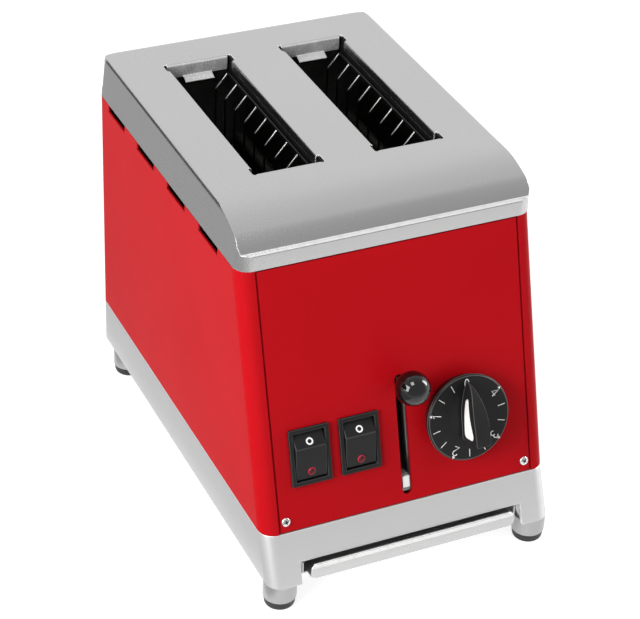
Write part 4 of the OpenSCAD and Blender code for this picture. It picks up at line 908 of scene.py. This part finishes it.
# %% Screws on the panel
SCREW_ACROSS, SCREW_UP, FIRST_TURN, NEXT_TURN = 75.7, 7, 0.35, 0.7

tree, given = new_rule("Panel screws", ("Pattern", "Object"), ("Tilt", "Float"), ("Turn", "Float"))
pattern = add_node(tree, "GeometryNodeObjectInfo", {"Object": given["Pattern"]})
number = add_node(tree, "GeometryNodeInputIndex")
spin = maths(tree, "MULTIPLY_ADD", number, given["Turn"])
spin.node.inputs[2].default_value = FIRST_TURN
own_turn = add_node(tree, "ShaderNodeCombineXYZ", {"Z": spin})
leaning = add_node(tree, "ShaderNodeCombineXYZ", {"X": given["Tilt"]})
screws = add_node(tree, "GeometryNodeInstanceOnPoints", {
    "Points": add_node(tree, "GeometryNodeMeshToPoints", {"Mesh": given["Geometry"]}),
    "Instance": pattern.outputs["Geometry"]})
leant = add_node(tree, "GeometryNodeRotateInstances", {"Instances": screws, "Rotation": leaning})
spun = add_node(tree, "GeometryNodeRotateInstances", {
    "Instances": leant, "Rotation": own_turn, "Local Space": True})
screw_rule = close_rule(tree, given, spun)
screw_points = [on_panel(s * SCREW_ACROSS, SCREW_UP, 0).translation for s in (-1, 1)]
panel_screws = grow("panel_screws_driven", screw_rule, "fastener",
                    {"Pattern": head, "Tilt": panel_tilt, "Turn": NEXT_TURN}, screw_points)
bpy.data.objects.remove(head)
hold(panel_screws, "housing", "fastener", "panel_screws")

# %% [markdown]
# ## Print on the dial
# The dial counts minutes from 0 to 4. The numbers stand round the rim with their heads outwards, two strokes lie
# between each pair, and a small arrow points from each number but the 0 to the rim. Strokes repeat by a rule, so a
# tree makes them: points are laid out on the arc, every third one, where a number stands, is left out, and a stroke
# is set on each of the others. A number is drawn as a pen would draw it, by lines and arcs, and a flat nib follows
# them.

# %% Dial strokes
NUMBERS, STEPS, MINUTE_TURN = 5, 3, 76
DIAL_STEP = math.radians(MINUTE_TURN / STEPS)
STROKE_R, STROKE_L, STROKE_W, PRINT_T, PRINT_RAISED = 21.2, 4.6, 0.42, 0.08, 0.3

tree, given = new_rule(
    "Dial strokes", ("Steps", "Int"), ("Step angle", "Float"), ("Radius", "Float"), ("Stroke", "Vector"))
places = add_node(tree, "GeometryNodeMeshLine", {"Count": given["Steps"]})
index = add_node(tree, "GeometryNodeInputIndex")
angle = times(tree, index, given["Step angle"])
round_place = add_node(tree, "ShaderNodeCombineXYZ", {
    "X": times(tree, maths(tree, "SINE", angle, 0.0), times(tree, given["Radius"], -1.0)),
    "Y": times(tree, maths(tree, "COSINE", angle, 0.0), given["Radius"])})
arc = add_node(tree, "GeometryNodeSetPosition", {"Geometry": places, "Position": round_place})
bar = add_node(tree, "GeometryNodeMeshCube", {"Size": given["Stroke"]})
third = add_node(tree, "FunctionNodeCompare", {
    2: add_node(tree, "FunctionNodeIntegerMath", {0: index, 1: STEPS}, operation="MODULO"), 3: 0},
    data_type="INT", operation="NOT_EQUAL")
lean = add_node(tree, "ShaderNodeCombineXYZ", {"Z": angle})
strokes = add_node(tree, "GeometryNodeInstanceOnPoints", {
    "Points": arc, "Instance": bar, "Selection": third, "Rotation": lean})
stroke_rule = close_rule(tree, given, strokes)
stroke_piece = grow("dial_strokes", stroke_rule, "white_print", {
    "Steps": (NUMBERS - 1) * STEPS + 1, "Step angle": DIAL_STEP, "Radius": STROKE_R * MM,
    "Stroke": mm(STROKE_W, STROKE_L, PRINT_T)})

# %% Number rule


def bow(x, y, radius, start, end, wide=1.0, steps=16):
    """Points on an arc round a centre, between two angles in degrees."""
    turns = [math.radians(start + (end - start) * i / steps) for i in range(steps + 1)]
    return [(x + wide * radius * math.cos(t), y + radius * math.sin(t)) for t in turns]


DIGITS = [
    bow(0, 0, 0.5, 90, 450, wide=0.48, steps=32),
    [(-0.17, 0.30), (0.06, 0.5), (0.06, -0.5)],
    bow(0, 0.22, 0.28, 165, -38) + [(-0.29, -0.5), (0.31, -0.5)],
    bow(0, 0.24, 0.26, 155, -90) + bow(0, -0.24, 0.26, 90, -155),
    [(0.14, -0.5), (0.14, 0.5), (-0.32, -0.2), (0.33, -0.2)],
]
tree, given = new_rule("Drawn numbers", ("Width", "Float"))
drawn = add_node(tree, "GeometryNodeMeshToCurve", {"Mesh": given["Geometry"]})
upright = add_node(tree, "GeometryNodeSetCurveNormal", {"Curve": drawn})
set_mode(upright, "Z Up", "Z_UP")
nib = add_node(tree, "GeometryNodeCurvePrimitiveQuadrilateral", {"Width": given["Width"], "Height": PRINT_T * MM})
ribbon = add_node(tree, "GeometryNodeCurveToMesh", {"Curve": upright, "Profile Curve": nib, "Fill Caps": True})
number_rule = close_rule(tree, given, ribbon)

# %% Numbers and arrows
NUMBER_R, NUMBER_H, NUMBER_W, ARROW_R, ARROW_W, ARROW_L = 20.7, 5.2, 0.5, 23.9, 1.9, 1.7

printing = bmesh.new()
printing.from_mesh(stroke_piece.data)
bpy.data.objects.remove(stroke_piece)
for minute in range(NUMBERS):
    turn_to = Matrix.Rotation(minute * STEPS * DIAL_STEP, 4, "Z")
    points = [mm(x * NUMBER_H, NUMBER_R + y * NUMBER_H, 0) for x, y in DIGITS[minute]]
    number = grow(f"number_{minute}", number_rule, "white_print", {"Width": NUMBER_W * MM},
                  points, [(i, i + 1) for i in range(len(points) - 1)])
    number.data.transform(turn_to)
    printing.from_mesh(number.data)
    bpy.data.objects.remove(number)
    if minute:
        half, low, high = ARROW_W / 2 * MM, ARROW_R * MM, (ARROW_R + ARROW_L) * MM
        sides = [[printing.verts.new(turn_to @ Vector(p + (z,))) for p in ((-half, low), (half, low), (0, high))]
                 for z in (-PRINT_T / 2 * MM, PRINT_T / 2 * MM)]
        printing.faces.new(sides[0][::-1])
        printing.faces.new(sides[1])
        for a in range(3):
            b = (a + 1) % 3
            printing.faces.new((sides[0][a], sides[0][b], sides[1][b], sides[1][a]))
place = on_panel(DIAL_ACROSS, DIAL_UP, DIAL_FACE + PRINT_T * PRINT_RAISED)
bmesh.ops.transform(printing, matrix=place, verts=printing.verts)
print_mesh = freeze(printing, "dial_print")
hold(link_piece("dial_print", print_mesh, "white_print"), "dial", "white_print")
print("dial print", len(print_mesh.polygons), "faces")

# %% [markdown]
# ## Rings on the rockers
# Each rocker carries a plain printed ring on its upper facet. It lies on that facet, so its place and tilt come
# from the rocker's own outline: the ridge and the upper edge.

# %% Rocker rings
SWITCHES = {"left": (-58.1, "rocker_a"), "right": (-27.6, "rocker_b")}
SWITCH_UP, RIDGE, UPPER, LOWER = 43.7, (5.5, 3.8), (13.4, -0.8), (-13.4, 1.2)
RING_UP, RING_OUTER, RING_INNER, RING_LOW, RING_TOP, SIDES = 8.7, 2.15, 1.2, -0.03, 0.05, 40


def on_facet(low, high, across, up):
    """Matrix of a place on a rocker's facet, which runs between two points of the rocker's outline."""
    tilt = math.atan2(high[1] - low[1], high[0] - low[0])
    out = low[1] + (up - low[0]) * math.tan(tilt)
    return on_panel(across, SWITCH_UP + up, out) @ Matrix.Rotation(tilt, 4, "X")


profile = [(RING_INNER, RING_LOW), (RING_OUTER, RING_LOW), (RING_OUTER, RING_TOP), (RING_INNER, RING_TOP)]
for side, (across, body) in SWITCHES.items():
    mesh = turned("ring_" + side, profile + profile[:1], SIDES)
    mesh.transform(on_facet(RIDGE, UPPER, across, RING_UP))
    hold(link_piece("ring_" + side, mesh, "white_print"), body, "white_print")
    print("ring", side, len(mesh.polygons), "faces")

# %% [markdown]
# ## Lenses of the rockers
# A red lens sits in a pocket of each rocker's lower facet: a short rod with a narrow flat rim and a low dome. It is
# turned from a profile, and its rim is marked as an edge, because moulded lenses are paler where they are thin.

# %% Rocker lenses
LENS_UP, LENS_R, LENS_D, RIM_TOP, RIM_BEVEL, RIM_STEP = -9.5, 2.3, 2.0, 0.2, 0.15, 0.1
DOME_R, DOME_LOW, DOME_H = 1.75, 0.12, 0.75
profile = [(0, -LENS_D), (LENS_R, -LENS_D), (LENS_R, RIM_TOP - RIM_BEVEL), (LENS_R - RIM_BEVEL, RIM_TOP),
           (DOME_R + RIM_STEP, RIM_TOP), (DOME_R, DOME_LOW)] + dome(DOME_R, DOME_LOW, DOME_H, first=10, step=10)
for side, (across, body) in SWITCHES.items():
    mesh = turned("lens_" + side + "_turned", profile, SIDES)
    mark(mesh, [float(v.co.xy.length > (DOME_R + RIM_STEP / 2) * MM) for v in mesh.vertices])
    shade_smooth(mesh, TURNED_SMOOTH)
    mesh.transform(on_facet(LOWER, RIDGE, across, LENS_UP))
    hold(link_piece("lens_" + side + "_turned", mesh, "lens_red"), body, "lens_red", "lens_" + side)
    print("lens", side, len(mesh.polygons), "faces")

# %% [markdown]
# ## Finishes on the pieces that stay
# What is left keeps its CAD shape: rods, racks, plates, elements and the like. Those pieces only get their finish, by
# assigning it to the material slot that came with them. The liners of the bread slots are painted dark grey instead,
# as painted shade down in the slots.

# %% Finishes on CAD nodes
plain = 0
for name, piece in nodes.items():
    if not piece.hide_render:
        slot = piece.data.materials[0].name
        piece.data.materials[0] = shaded_liner if name.startswith("slot_liner") else finishes[slot]
        plain += 1
print("finishes assigned to", plain, "pieces")
